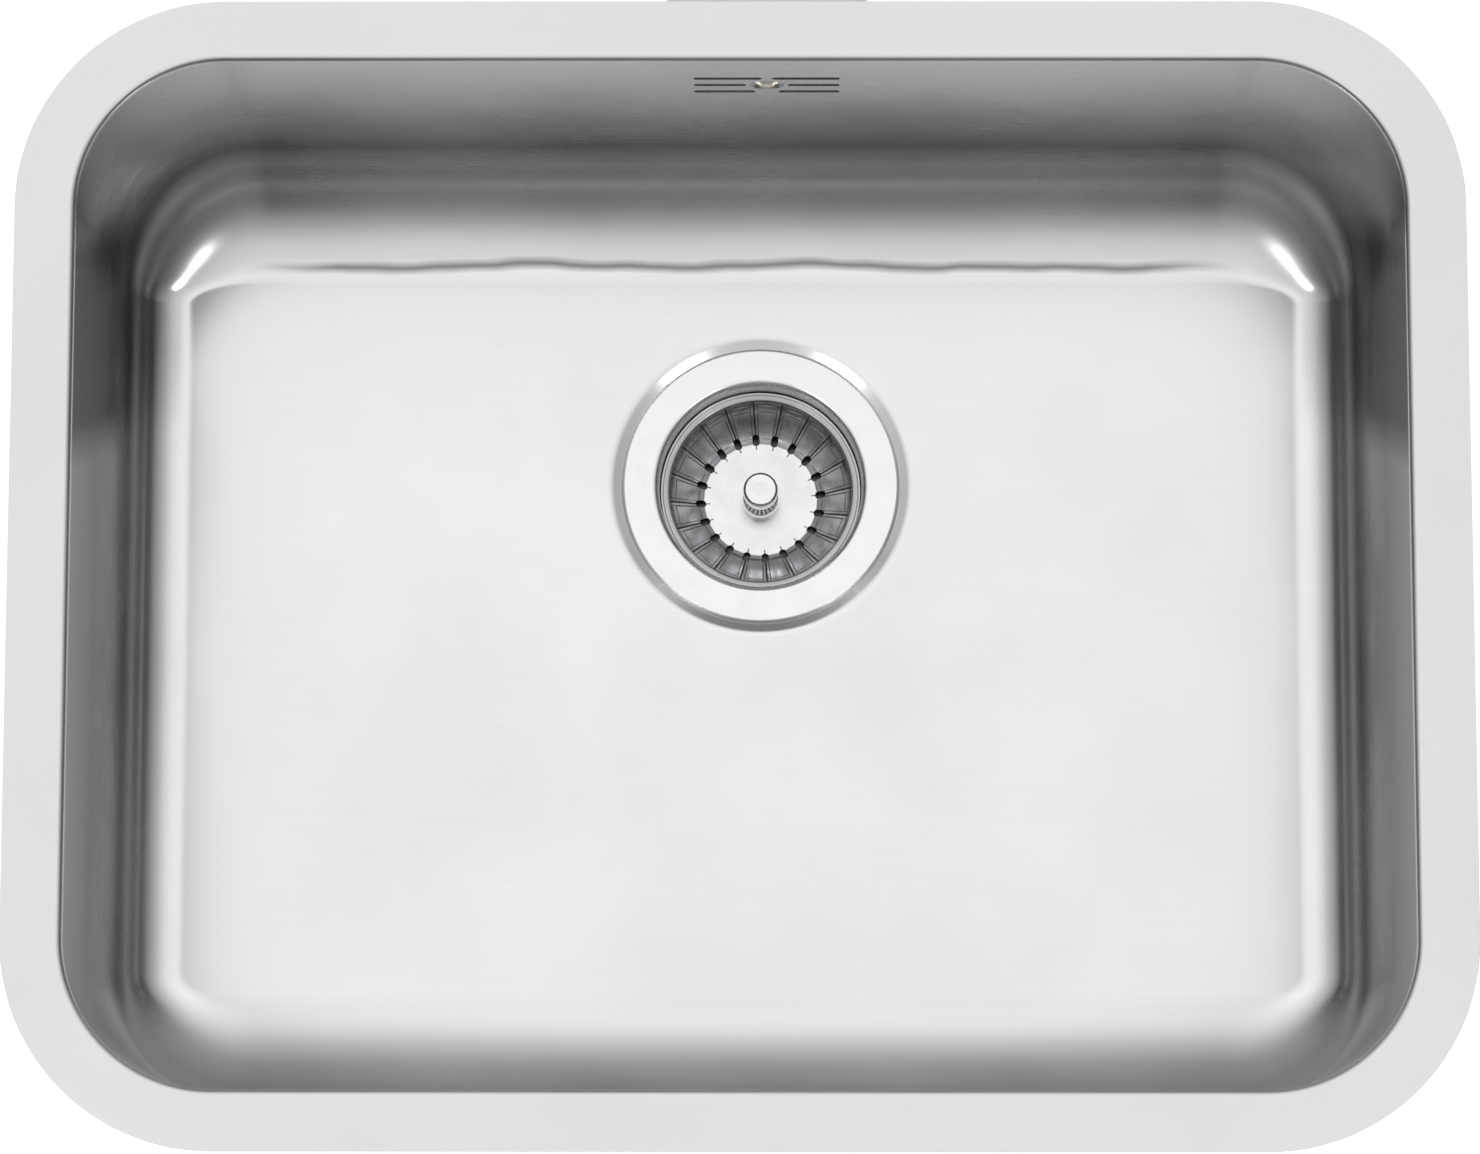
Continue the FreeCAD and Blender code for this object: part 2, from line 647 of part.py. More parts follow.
def make_basket():
    """The strainer basket: a faceted dish with a round collar, a rim and a ring of slots."""
    gauge = dim.basket_gauge
    outer = dim.basket_collar_radius
    inner = outer - gauge
    dish = facet_block("basket_outside", dim.basket_disc_radius + gauge, outer,
                       disc_underside, facet_top)
    overlap = gauge * SEAM_OVERLAP
    hollow = facet_block("basket_inside", dim.basket_disc_radius, inner - overlap,
                         disc_top, facet_top)
    collar = tube("basket_collar", inner, outer, facet_top - dim.basket_skirt, basket_rim)
    rim = tube("basket_rim", inner, outer + dim.basket_rim_width, basket_rim - gauge, basket_rim)
    pressed = cut("basket_pressed", join("basket_blank", [dish, collar, rim]), hollow)
    document.recompute()
    body = on_waste(new_body("strainer_basket", pressed))
    document.recompute()
    sketch = new_sketch(body, "XY_Plane", disc_underside - gauge)
    draw_rounded_box(sketch, dim.basket_slot_length, dim.basket_slot_width,
                     dim.basket_slot_width * ROUND_END, across=dim.basket_disc_radius)
    bind(sketch, AttachmentOffset__Rotation__Angle=dim.basket_slot_angle)
    slot = push(body, sketch, dim.basket_cone_rise, "PartDesign::Pocket", Reversed=True)
    ring_of(body, slot, dim.basket_facets)
    document.recompute()
    sketch = new_sketch(body, "XY_Plane", disc_underside - gauge)
    draw_circle(sketch, dim.stem_radius + dim.stem_gap)
    push(body, sketch, gauge * PUNCH_REACH, "PartDesign::Pocket", Reversed=True)
    return body


def make_stem_pieces():
    """The knob, stem, plug seal, retainer, nut and spring clip that share the stem."""
    bore = dim.stem_radius + dim.stem_gap
    plug_foot = disc_underside - dim.plug_thickness
    retainer_foot = plug_foot - dim.retainer_gauge
    turned_piece("basket_plug_seal", washer_corners(
        bore, dim.plug_radius, plug_foot, disc_underside))
    turned_piece("basket_seal_retainer", washer_corners(
        bore, dim.retainer_radius, retainer_foot, plug_foot))
    make_stem_nut(bore, retainer_foot)
    stem_foot = stem_foot_top - dim.stem_foot_height
    turned_piece("basket_stem", [
        (ZERO, disc_top + dim.stem_in_knob), (dim.stem_radius, disc_top + dim.stem_in_knob),
        (dim.stem_radius, stem_foot_top), (dim.stem_foot_radius, stem_foot_top),
        (dim.stem_foot_radius, stem_foot), (ZERO, stem_foot)])
    make_knob(bore)
    make_clip(bore)


def make_stem_nut(bore, top):
    """The hexagon nut that holds the plug seal's retainer on the stem."""
    body = on_waste(new_body("basket_stem_nut"))
    sketch = new_sketch(body, "XY_Plane", top)
    half_flat = dim.stem_nut_flats / 2
    corner_reach = dim.stem_nut_flats / math.sqrt(3)
    half_side = corner_reach / 2
    draw_polygon(sketch, [
        (half_side, half_flat), (-half_side, half_flat), (-corner_reach, ZERO),
        (-half_side, -half_flat), (half_side, -half_flat), (corner_reach, ZERO)])
    draw_circle(sketch, bore)
    push(body, sketch, dim.stem_nut_height, Reversed=True)
    return body


def make_knob(bore):
    """The knob on the basket: a foot, a waist and a cap to pull by."""
    top = disc_top + dim.knob_height
    cap_foot = top - dim.knob_cap_height
    foot_top = disc_top + dim.knob_foot_height
    socket_top = disc_top + dim.stem_in_knob + dim.stem_gap
    bevel = dim.knob_bevel
    return turned_piece("basket_knob", [
        (ZERO, top), (dim.knob_cap_radius - bevel, top), (dim.knob_cap_radius, top - bevel),
        (dim.knob_cap_radius, cap_foot), (dim.knob_waist_radius, cap_foot - dim.knob_neck),
        (dim.knob_waist_radius, foot_top + dim.knob_neck), (dim.knob_foot_radius, foot_top),
        (dim.knob_foot_radius, disc_top), (bore, disc_top), (bore, socket_top),
        (ZERO, socket_top)])


def make_clip(bore):
    """The slit spring clip that snaps the stem into the hollow screw."""
    foot = stem_foot_top + dim.clip_play / 2
    radius = bore + dim.clip_wall
    body = turned_piece("basket_spring_clip", washer_corners(
        bore, radius, foot, foot + dim.clip_length))
    sketch = new_sketch(body, "XY_Plane", foot - dim.clip_gap)
    draw_rounded_box(sketch, radius * 2, dim.clip_slit, dim.clip_slit * SQUARE_END, across=radius)
    slit = push(body, sketch, dim.clip_length * SLIT_DEPTH, "PartDesign::Pocket", Reversed=True)
    ring_of(body, slit, dim.clip_fingers)
    return body


# ---- overflow ----

def on_overflow(body, rotation=None):
    """Stand a piece at the overflow's centre, on the back of the bowl's wall."""
    place(body, across=dim.overflow_across, back=back_wall, height=-dim.overflow_drop,
          rotation=rotation)
    return body


def make_overflow_gasket():
    """A frame of soft rubber between the bowl's wall and the housing."""
    body = on_overflow(new_body("overflow_gasket"))
    sketch = new_sketch(body, "XZ_Plane")
    land = dim.gasket_land
    draw_rounded_box(sketch, dim.housing_width, dim.housing_height, dim.housing_corner)
    draw_rounded_box(sketch, dim.housing_width - land * 2, dim.housing_height - land * 2,
                     dim.housing_corner - land)
    push(body, sketch, dim.gasket_thickness, Reversed=True)
    return body


def make_overflow_housing():
    """The moulded chamber behind the slots, with a screw boss and a spigot for the pipe."""
    body = on_overflow(new_body("overflow_housing"))
    wall = dim.housing_wall
    width = dim.housing_width
    height = dim.housing_height
    depth = dim.housing_depth
    sketch = new_sketch(body, "XZ_Plane", -housing_front)
    draw_rounded_box(sketch, width, height, dim.housing_corner)
    push(body, sketch, depth, Reversed=True)
    document.recompute()
    names = [f"Edge{number}" for number, edge in enumerate(body.Tip.Shape.Edges, start=1)
             if near(edge.BoundBox.YMin, housing_back.value)]
    round_edges(body, names, dim.housing_bevel, "PartDesign::Chamfer", "Size")
    sketch = new_sketch(body, "XY_Plane", ZERO)
    draw_circle(sketch, spigot_radius, up=dim.pipe_standoff)
    push(body, sketch, -spigot_end, Reversed=True)
    sketch = new_sketch(body, "XZ_Plane", -housing_front)
    draw_rounded_box(sketch, width - wall * 2, height - wall * 2, dim.housing_corner - wall)
    push(body, sketch, depth - wall, "PartDesign::Pocket")
    sketch = new_sketch(body, "XZ_Plane", -(dim.boss_front))
    draw_circle(sketch, dim.boss_radius)
    push(body, sketch, housing_back - dim.boss_front, Reversed=True)
    sketch = new_sketch(body, "XZ_Plane", -(dim.boss_front) + dim.insert_gap)
    draw_circle(sketch, dim.insert_radius + dim.insert_gap)
    push(body, sketch, dim.insert_length + dim.insert_gap * 2, "PartDesign::Pocket")
    sketch = new_sketch(body, "XZ_Plane", -(dim.boss_front))
    draw_circle(sketch, dim.overflow_screw_radius + dim.screw_hole_gap)
    push(body, sketch, dim.insert_length + dim.screw_room, "PartDesign::Pocket")
    sketch = new_sketch(body, "XY_Plane", spigot_end - wall)
    draw_circle(sketch, spigot_bore, up=dim.pipe_standoff)
    push(body, sketch, dim.spigot_length + wall * 3, "PartDesign::Pocket", Reversed=True)
    return body


def make_overflow_fixing():
    """The screw through the dished seat, and the insert that it pulls on."""
    into_basin = Rotation(Vector(1, 0, 0), 90)
    seat = dim.sheet_gauge - dim.dish_depth
    head_top = seat + dim.overflow_head_height
    bevel = dim.overflow_head_bevel
    radius = dim.overflow_screw_radius
    body = on_overflow(new_body("overflow_screw"), into_basin)
    tip = seat - dim.overflow_screw_length
    turn(body, [
        (ZERO, head_top), (dim.overflow_head_radius - bevel * 2, head_top),
        (dim.overflow_head_radius, head_top - bevel), (dim.overflow_head_radius, seat),
        (radius, seat), (radius, tip), (ZERO, tip)])
    sketch = new_sketch(body, "XY_Plane", head_top)
    draw_rounded_box(sketch, dim.overflow_head_radius * 3, dim.drive_slot_width,
                     dim.drive_slot_width * SQUARE_END)
    push(body, sketch, dim.drive_slot_depth, "PartDesign::Pocket")
    insert = on_overflow(new_body("overflow_insert_nut"), into_basin)
    front = -dim.boss_front
    turn(insert, washer_corners(radius + dim.insert_gap, dim.insert_radius,
                                front - dim.insert_length, front))


def pipe_run(name, radius):
    """A solid rod along the pipe's way: down, round one bend, and forward."""
    top = spigot_end - dim.overflow_drop + dim.pipe_insertion
    bend_height = inlet_height + dim.pipe_bend
    bend_back = pipe_back - dim.pipe_bend
    end = inlet_end - dim.pipe_insertion
    drop = add("Part::Cylinder", f"{name}_drop", Radius=radius, Height=top - bend_height)
    place(drop, across=dim.overflow_across, back=pipe_back, height=bend_height)
    elbow = add("Part::Torus", f"{name}_elbow", Radius1=dim.pipe_bend, Radius2=radius)
    elbow.Angle3 = 90
    across_bend = Rotation(Vector(0, 1, 0), Vector(0, 0, -1), Vector(-1, 0, 0), "XYZ")
    place(elbow, across=dim.overflow_across, back=bend_back, height=bend_height,
          rotation=across_bend)
    run = add("Part::Cylinder", f"{name}_run", Radius=radius, Height=bend_back - end)
    place(run, across=dim.overflow_across, back=bend_back, height=inlet_height,
          rotation=Rotation(Vector(1, 0, 0), 90))
    return join(name, [drop, elbow, run])


def make_pipe():
    """The rigid pipe from the overflow housing to the waste body."""
    outside = pipe_run("pipe_outside", dim.pipe_radius)
    inside = pipe_run("pipe_inside", dim.pipe_radius - dim.pipe_wall)
    return cut("overflow_pipe", outside, inside)


def make_coupling(prefix, back, height, rotation):
    """A cone seal and a fluted nut on a spigot's end, with their axis along the pipe."""
    hole = dim.pipe_radius + dim.seal_gap
    wide = spigot_radius - dim.seal_gap
    tip = wide - dim.cone_seal_taper
    seal = new_body(f"{prefix}_cone_seal")
    turn(seal, [(hole, ZERO), (wide, ZERO), (tip, dim.cone_seal_height),
                (hole, dim.cone_seal_height)])
    nut = new_body(f"{prefix}_coupling_nut")
    inner = spigot_radius + dim.nut_gap
    outer = inner + dim.nut_wall
    shoulder = dim.nut_cap - dim.nut_lid
    turn(nut, [
        (inner, -dim.nut_skirt), (outer, -dim.nut_skirt), (outer, dim.nut_cap),
        (dim.pipe_radius + dim.pipe_gap, dim.nut_cap), (dim.pipe_radius + dim.pipe_gap, shoulder),
        (tip + dim.seal_gap * 2, shoulder), (inner, dim.seal_gap)])
    sketch = new_sketch(nut, "XY_Plane", -dim.nut_skirt - dim.nut_lid)
    flute_centre = outer + dim.nut_flute_radius - dim.nut_flute_depth
    draw_circle(sketch, dim.nut_flute_radius, up=flute_centre)
    length = dim.nut_skirt + dim.nut_cap
    flute = push(nut, sketch, length, "PartDesign::Pocket", Reversed=True)
    ring_of(nut, flute, dim.nut_flutes)
    for body in (seal, nut):
        place(body, across=dim.overflow_across, back=back, height=height, rotation=rotation)


def check_document():
    """Stop if any object failed, or if a finished piece is null or not valid."""
    for item in document.Objects:
        if any(word in item.State for word in ("Invalid", "Error")):
            raise RuntimeError(f"{item.Label} failed: {item.State}")


def finished_pieces():
    """The bodies and the pipe, each of which is one piece of the sink."""
    pieces = [item for item in document.Objects if item.TypeId == "PartDesign::Body"]
    pieces.append(document.getObject("overflow_pipe"))
    return pieces


make_bowl()
make_sound_pad()
make_waste_flange()
make_waste_seals()
make_clamp()
make_waste_body()
make_basket()
make_stem_pieces()
make_overflow_gasket()
make_overflow_housing()
make_overflow_fixing()
make_pipe()
make_coupling("upper", pipe_back, spigot_end - dim.overflow_drop, Rotation(Vector(1, 0, 0), 180))
make_coupling("lower", inlet_end, inlet_height, Rotation(Vector(1, 0, 0), -90))
document.recompute()
check_document()

os.makedirs("parts", exist_ok=True)
for piece in finished_pieces():
    if piece.Shape.isNull() or not piece.Shape.isValid():
        raise RuntimeError(f"{piece.Label} has no valid shape")
for piece in finished_pieces():
    piece.Shape.exportStep(f"parts/{piece.Label}.step")
    print(f"{piece.Label}: {len(piece.Shape.Solids)} solid, {piece.Shape.Volume:.0f} mm3")
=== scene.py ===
import json
from math import cos, hypot, pi, radians, sin, tan
import bmesh
import bpy
from mathutils import Matrix, Vector


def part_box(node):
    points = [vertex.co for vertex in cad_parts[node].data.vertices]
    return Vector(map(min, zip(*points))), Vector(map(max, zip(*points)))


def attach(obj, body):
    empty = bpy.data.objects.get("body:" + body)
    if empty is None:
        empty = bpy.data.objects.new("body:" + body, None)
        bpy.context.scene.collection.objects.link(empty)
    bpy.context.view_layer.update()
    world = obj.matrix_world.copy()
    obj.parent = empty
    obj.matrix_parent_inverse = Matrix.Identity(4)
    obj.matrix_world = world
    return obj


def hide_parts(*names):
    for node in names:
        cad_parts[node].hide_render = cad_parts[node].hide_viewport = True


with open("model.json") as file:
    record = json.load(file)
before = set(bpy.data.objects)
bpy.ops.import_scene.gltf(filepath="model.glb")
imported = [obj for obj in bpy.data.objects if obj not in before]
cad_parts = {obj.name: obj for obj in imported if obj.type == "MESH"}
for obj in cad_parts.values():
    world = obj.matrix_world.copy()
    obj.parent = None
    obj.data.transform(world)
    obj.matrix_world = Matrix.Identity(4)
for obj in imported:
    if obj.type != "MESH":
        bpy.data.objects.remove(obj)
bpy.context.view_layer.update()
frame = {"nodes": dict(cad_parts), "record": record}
mm = 0.001
scene = bpy.context.scene


# meshes

def newObject(name, mesh):
    item = bpy.data.objects.new(name, mesh)
    scene.collection.objects.link(item)
    return item


def finishShell(mesh, sharpAbove=30):
    shell = bmesh.new()
    shell.from_mesh(mesh)
    bmesh.ops.recalc_face_normals(shell, faces=shell.faces)
    shell.to_mesh(mesh)
    shell.free()
    mesh.shade_smooth()
    mesh.set_sharp_from_angle(angle=radians(sharpAbove))
    return mesh


# rings of equal length, the last one joined to the first; along and across place each corner on the sheet
def ringShell(name, rings, along, across):
    count, turns = len(rings[0]), len(rings)
    faces, places = [], []
    for i in range(turns):
        for j in range(count):
            k, m = (i + 1) % turns, (j + 1) % count
            faces.append((i * count + j, i * count + m, k * count + m, k * count + j))
            places += [(along[j], across[i]), (along[j + 1], across[i]),
                       (along[j + 1], across[i + 1]), (along[j], across[i + 1])]
    mesh = bpy.data.meshes.new(name)
    mesh.from_pydata([point for ring in rings for point in ring], [], faces)
    sheet = mesh.uv_layers.new(name="sheet")
    sheet.data.foreach_set("uv", [value for place in places for value in place])
    return finishShell(mesh)


# a profile of (radius, height) turned round an upright axis; radius 0 closes it with a pole
def turnedMesh(name, profile, centre, steps=96, closed=False, sharpAbove=30):
    points, rows = [], []
    for radius, height in profile:
        if radius < 1e-7:
            rows.append([len(points)] * steps)
            points.append((centre[0], centre[1], height))
            continue
        rows.append(list(range(len(points), len(points) + steps)))
        for step in range(steps):
            angle = 2 * pi * step / steps
            points.append((centre[0] + radius * cos(angle), centre[1] + radius * sin(angle), height))
    pairs = list(zip(rows, rows[1:])) + ([(rows[-1], rows[0])] if closed else [])
    faces = []
    for low, high in pairs:
        for j in range(steps):
            m = (j + 1) % steps
            corners = [low[j], low[m], high[m], high[j]]
            corners = [c for at, c in enumerate(corners) if c not in corners[:at]]
            if len(corners) > 2:
                faces.append(corners)
    mesh = bpy.data.meshes.new(name)
    mesh.from_pydata(points, [], faces)
    return finishShell(mesh, sharpAbove)


# a path through corners (x, y, bend, steps), each rounded by its bend
def softPath(corners, steps=6):
    path = []
    for at, corner in enumerate(corners):
        here, bend = Vector(corner[:2]), corner[2] if len(corner) > 2 else 0
        if not bend:
            path.append(tuple(here))
            continue
        before = (Vector(corners[at - 1][:2]) - here).normalized()
        after = (Vector(corners[at + 1][:2]) - here).normalized()
        half = before.angle(after) / 2
        middle = here + (before + after).normalized() * bend / sin(half)
        start = here + before * bend / tan(half) - middle
        sweep = start.angle_signed(here + after * bend / tan(half) - middle)
        count = corner[3] if len(corner) > 3 else steps
        for step in range(count + 1):
            turn = Matrix.Rotation(-sweep * step / count, 2)
            path.append(tuple(middle + turn @ start))
    return path


# the path moved sideways by a distance, to give a sheet its other face
def offsetPath(path, distance):
    moved = []
    for at, here in enumerate(path):
        before, after = path[max(at - 1, 0)], path[min(at + 1, len(path) - 1)]
        run = Vector(after) - Vector(before)
        side = Vector((-run.y, run.x)).normalized()
        moved.append(tuple(Vector(here) + side * distance))
    return moved


# node trees

# a node with its settings, and its inputs as plain values or as links from other nodes' outputs
def addNode(tree, kind, inputs=None, **settings):
    node = tree.nodes.new(kind)
    for name, value in settings.items():
        setattr(node, name, value)
    for name, value in (inputs or {}).items():
        socket = node.inputs[name]
        if isinstance(value, bpy.types.NodeSocket):
            tree.links.new(value, socket)
        else:
            socket.default_value = value
    return node


def geometryNode(tree, kind, inputs=None, **settings):
    return addNode(tree, "GeometryNode" + kind, inputs, **settings).outputs[0]


def mathNode(tree, operation, first, second=0.0, clamp=False):
    return addNode(tree, "ShaderNodeMath", {0: first, 1: second}, operation=operation,
                   use_clamp=clamp).outputs[0]


def times(tree, first, *others):
    product = first
    for value in others:
        product = mathNode(tree, "MULTIPLY", product, value)
    return product


def oneMinus(tree, value):
    return mathNode(tree, "SUBTRACT", 1.0, value)


# a value's share of the way from start to end, held between low and high
def mapSpan(tree, value, start, end, low=0.0, high=1.0):
    return addNode(tree, "ShaderNodeMapRange", {
        "Value": value, "From Min": start, "From Max": end, "To Min": low, "To Max": high}).outputs[0]


def vectorParts(tree, vector):
    return addNode(tree, "ShaderNodeSeparateXYZ", {0: vector}).outputs


def vectorFrom(tree, **parts):
    return addNode(tree, "ShaderNodeCombineXYZ", parts).outputs[0]


def newTree(name, kind, inputs, outputs):
    tree = bpy.data.node_groups.new(name, kind)
    for label, socketKind, value in inputs:
        socket = tree.interface.new_socket(label, in_out="INPUT", socket_type=socketKind)
        if value is not None:
            socket.default_value = value
    for label, socketKind in outputs:
        tree.interface.new_socket(label, in_out="OUTPUT", socket_type=socketKind)
    given = tree.nodes.new("NodeGroupInput").outputs
    result = tree.nodes.new("NodeGroupOutput").inputs
    return tree, given, result


# the end of every geometry tree: smooth faces with sharp edges, real geometry and its finish
def endTree(tree, geometry, result, material, sharpAbove=30):
    smooth = geometryNode(tree, "SetShadeSmooth", {
        "Geometry": geometry, "Shade Smooth": True}, domain="FACE")
    angle = addNode(tree, "GeometryNodeInputMeshEdgeAngle").outputs["Unsigned Angle"]
    soft = mathNode(tree, "LESS_THAN", angle, radians(sharpAbove))
    edged = geometryNode(tree, "SetShadeSmooth", {
        "Geometry": smooth, "Shade Smooth": soft}, domain="EDGE")
    real = geometryNode(tree, "RealizeInstances", {"Geometry": edged})
    finished = geometryNode(tree, "SetMaterial", {"Geometry": real, "Material": material})
    tree.links.new(finished, result["Geometry"])


# the end of a tree that cuts copies of a punch, one at each point, out of the sheet round its centre
def endPunched(tree, given, result, copies, material, sharpAbove=30):
    spots = geometryNode(tree, "InstanceOnPoints", copies)
    solid = geometryNode(tree, "RealizeInstances", {"Geometry": spots})
    moved = geometryNode(tree, "Transform", {"Geometry": solid, "Translation": given["Centre"]})
    punched = geometryNode(tree, "MeshBoolean", {"Mesh 1": given["Geometry"], "Mesh 2": moved},
                           operation="DIFFERENCE", solver="MANIFOLD")
    endTree(tree, punched, result, material, sharpAbove)


# runs a geometry tree on a mesh and gives back a plain mesh
def bakeTree(name, tree, mesh, **sizes):
    maker = newObject(name + "Maker", mesh)
    modifier = maker.modifiers.new("nodes", "NODES")
    modifier.node_group = tree
    weighted = maker.modifiers.new("weighted", "WEIGHTED_NORMAL")
    weighted.keep_sharp = True
    for item in tree.interface.items_tree:
        if item.item_type == "SOCKET" and item.in_out == "INPUT" and item.name in sizes:
            modifier[item.identifier] = sizes[item.name]
    graph = bpy.context.evaluated_depsgraph_get()
    graph.update()
    baked = bpy.data.meshes.new_from_object(
        maker.evaluated_get(graph), preserve_all_data_layers=True, depsgraph=graph)
    maker.modifiers.clear()
    bpy.data.objects.remove(maker)
    baked.name = name
    return baked


# places that the frame gives

rimLow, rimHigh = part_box("bowl")
flangeLow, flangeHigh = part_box("waste_flange")
wasteAt = ((flangeLow.x + flangeHigh.x) / 2, (flangeLow.y + flangeHigh.y) / 2)
overflowLow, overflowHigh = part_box("overflow_screw")
overflowAt = ((overflowLow.x + overflowHigh.x) / 2, (overflowLow.z + overflowHigh.z) / 2)
bowlDepth = 190 * mm


# shader groups

# fine streaks: noise that is long one way and short the other
def makeStreakGroup():
    tree, given, result = newTree("brushedStreaks", "ShaderNodeTree", [
        ("Place", "NodeSocketVector", None), ("Across", "NodeSocketFloat", None),
        ("Along", "NodeSocketFloat", None), ("Detail", "NodeSocketFloat", 4.0)],
        [("Streak", "NodeSocketFloat")])
    parts = vectorParts(tree, given["Place"])
    place = vectorFrom(tree, X=times(tree, parts["X"], given["Across"]),
                       Y=times(tree, parts["Y"], given["Along"]),
                       Z=times(tree, parts["Z"], given["Along"]))
    noise = addNode(tree, "ShaderNodeTexNoise", {
        "Vector": place, "Scale": 1.0, "Detail": given["Detail"], "Roughness": 0.6})
    tree.links.new(noise.outputs["Fac"], result["Streak"])
    return tree


# soft uneven patches, such as water marks and handling leave
def makePatchGroup():
    tree, given, result = newTree("softPatches", "ShaderNodeTree", [
        ("Place", "NodeSocketVector", None), ("Scale", "NodeSocketFloat", None),
        ("Low", "NodeSocketFloat", 0.35), ("High", "NodeSocketFloat", 0.65)],
        [("Patch", "NodeSocketFloat")])
    noise = addNode(tree, "ShaderNodeTexNoise", {
        "Vector": given["Place"], "Scale": given["Scale"], "Detail": 3.0, "Roughness": 0.55})
    tree.links.new(mapSpan(tree, noise.outputs["Fac"], given["Low"], given["High"]), result["Patch"])
    return tree


# the rings that turning leaves, and how far a point is from the upright axis
def makeTurnedGroup():
    tree, given, result = newTree("turnedRings", "ShaderNodeTree", [
        ("Place", "NodeSocketVector", None), ("Density", "NodeSocketFloat", None)],
        [("Ring", "NodeSocketFloat"), ("Radius", "NodeSocketFloat")])
    parts = vectorParts(tree, given["Place"])
    flat = vectorFrom(tree, X=parts["X"], Y=parts["Y"])
    radius = addNode(tree, "ShaderNodeVectorMath", {0: flat}, operation="LENGTH").outputs["Value"]
    place = vectorFrom(tree, X=times(tree, radius, given["Density"]),
                       Y=times(tree, parts["Z"], given["Density"]), Z=times(tree, parts["X"], 12.0))
    noise = addNode(tree, "ShaderNodeTexNoise", {
        "Vector": place, "Scale": 1.0, "Detail": 3.0, "Roughness": 0.6})
    tree.links.new(noise.outputs["Fac"], result["Ring"])
    tree.links.new(radius, result["Radius"])
    return tree


streakGroup = makeStreakGroup()
patchGroup = makePatchGroup()
turnedGroup = makeTurnedGroup()


def useGroup(tree, group, **inputs):
    node = tree.nodes.new("ShaderNodeGroup")
    node.node_tree = group
    for name, value in inputs.items():
        if isinstance(value, bpy.types.NodeSocket):
            tree.links.new(value, node.inputs[name])
        else:
            node.inputs[name].default_value = value
    return node


def newMaterial(name, **shaderInputs):
    material = bpy.data.materials.new(name)
    material.use_nodes = True
    tree = material.node_tree
    tree.nodes.clear()
    shader = tree.nodes.new("ShaderNodeBsdfPrincipled")
    output = tree.nodes.new("ShaderNodeOutputMaterial")
    tree.links.new(shader.outputs[0], output.inputs["Surface"])
    for label, value in shaderInputs.items():
        shader.inputs[label.replace("_", " ")].default_value = value
    return material, tree, shader


def objectPlace(tree, centre=(0, 0, 0)):
    place = addNode(tree, "ShaderNodeTexCoord").outputs["Object"]
    if any(centre):
        place = addNode(tree, "ShaderNodeMapping", {
            "Vector": place, "Location": [-value for value in centre]}).outputs[0]
    return place


def ramp(tree, value, stops):
    node = addNode(tree, "ShaderNodeValToRGB", {"Fac": value})
    elements = node.color_ramp.elements
    while len(elements) < len(stops):
        elements.new(0.5)
    for element, (position, colour) in zip(elements, stops):
        element.position = position
        grey = colour if isinstance(colour, tuple) else (colour,) * 3
        element.color = (*grey, 1)
    return node.outputs["Color"]


def greyRamp(tree, value, stops):
    return addNode(tree, "ShaderNodeSeparateColor", {0: ramp(tree, value, stops)}).outputs[0]


# mixes from one colour to another by a factor
def mixColour(tree, factor, first, second):
    return addNode(tree, "ShaderNodeMix", {
        "Factor": factor, "A": first, "B": second}, data_type="RGBA").outputs["Result"]


def bumpFrom(tree, height, distance, normal=None):
    inputs = {"Height": height, "Distance": distance, "Strength": 1.0}
    if normal is not None:
        inputs["Normal"] = normal
    return addNode(tree, "ShaderNodeBump", inputs).outputs[0]


# steel of the bowl

bowlLook = {
    # deep is the colour of the painted shade on the walls and the back sweep
    "light": (0.655, 0.655, 0.665), "dark": (0.60, 0.60, 0.61), "deep": (0.03, 0.03, 0.032, 1),
    "toneRange": (0.2, 0.8), "rough": (0.23, 0.31), "loopRadius": 0.26, "patchScale": 11.0,
    "floorRough": -0.08, "rimRough": 0.16, "frontRough": 0.28,
    "wallFrom": (6 * mm, 16 * mm), "rimFrom": (-1.5 * mm, -0.3 * mm), "frontFrom": (-145 * mm, -165 * mm),
    "wallStreaks": (1500.0, 9.0), "floorStreaks": (14.0, 1100.0), "streakHeight": 0.0015 * mm,
    "waveScale": 13.0, "waveHeight": 0.035 * mm}
footLook = {
    # painted shade along the crease at the foot of the back sweep and on the lower back sweep
    "strength": 0.75, "width": 1.5 * mm, "rise": 3.2 * mm, "wander": 3.2 * mm, "wanderScale": 22.0,
    "back": (85 * mm, 115 * mm), "middle": (205 * mm, 165 * mm),
    "sweepShade": 0.2, "sweepFrom": (-2 * mm, -5 * mm), "sweepHigh": 3.0}
wallLook = {
    "innerFace": 50 * mm, "side": (195 * mm, 236 * mm), "endShare": 0.12,
    # painted shade over the upper inner walls by height, and a painted dark reflection in a zone towards
    # the back of the side walls
    "paintedShade": [(0.12, 0.0), (0.25, 0.1), (0.45, 0.5), (0.6, 0.66), (0.97, 0.6), (0.99, 0.0)],
    "zoneStrength": 0.86, "zoneSide": (228 * mm, 236 * mm), "zoneSlant": 0.23,
    "zoneEnds": ((36 * mm, 52 * mm), (132 * mm, 118 * mm)),
    "zone": [(0.1, 0.25), (0.35, 0.9), (0.6, 1.0), (0.975, 1.0), (0.985, 0.0)],
    "grazing": 0.8, "facing": 0.45}
drawnLook = {
    "coarse": (170.0, 5.0), "fine": (430.0, 9.0), "fineShare": 0.3, "detail": 1.5, "height": 0.08 * mm,
    "from": (-190 * mm, -90 * mm),
    "stops": [(0.02, 0.0), (0.1, 0.5), (0.25, 1.0), (0.5, 0.45), (1.0, 0.12)]}
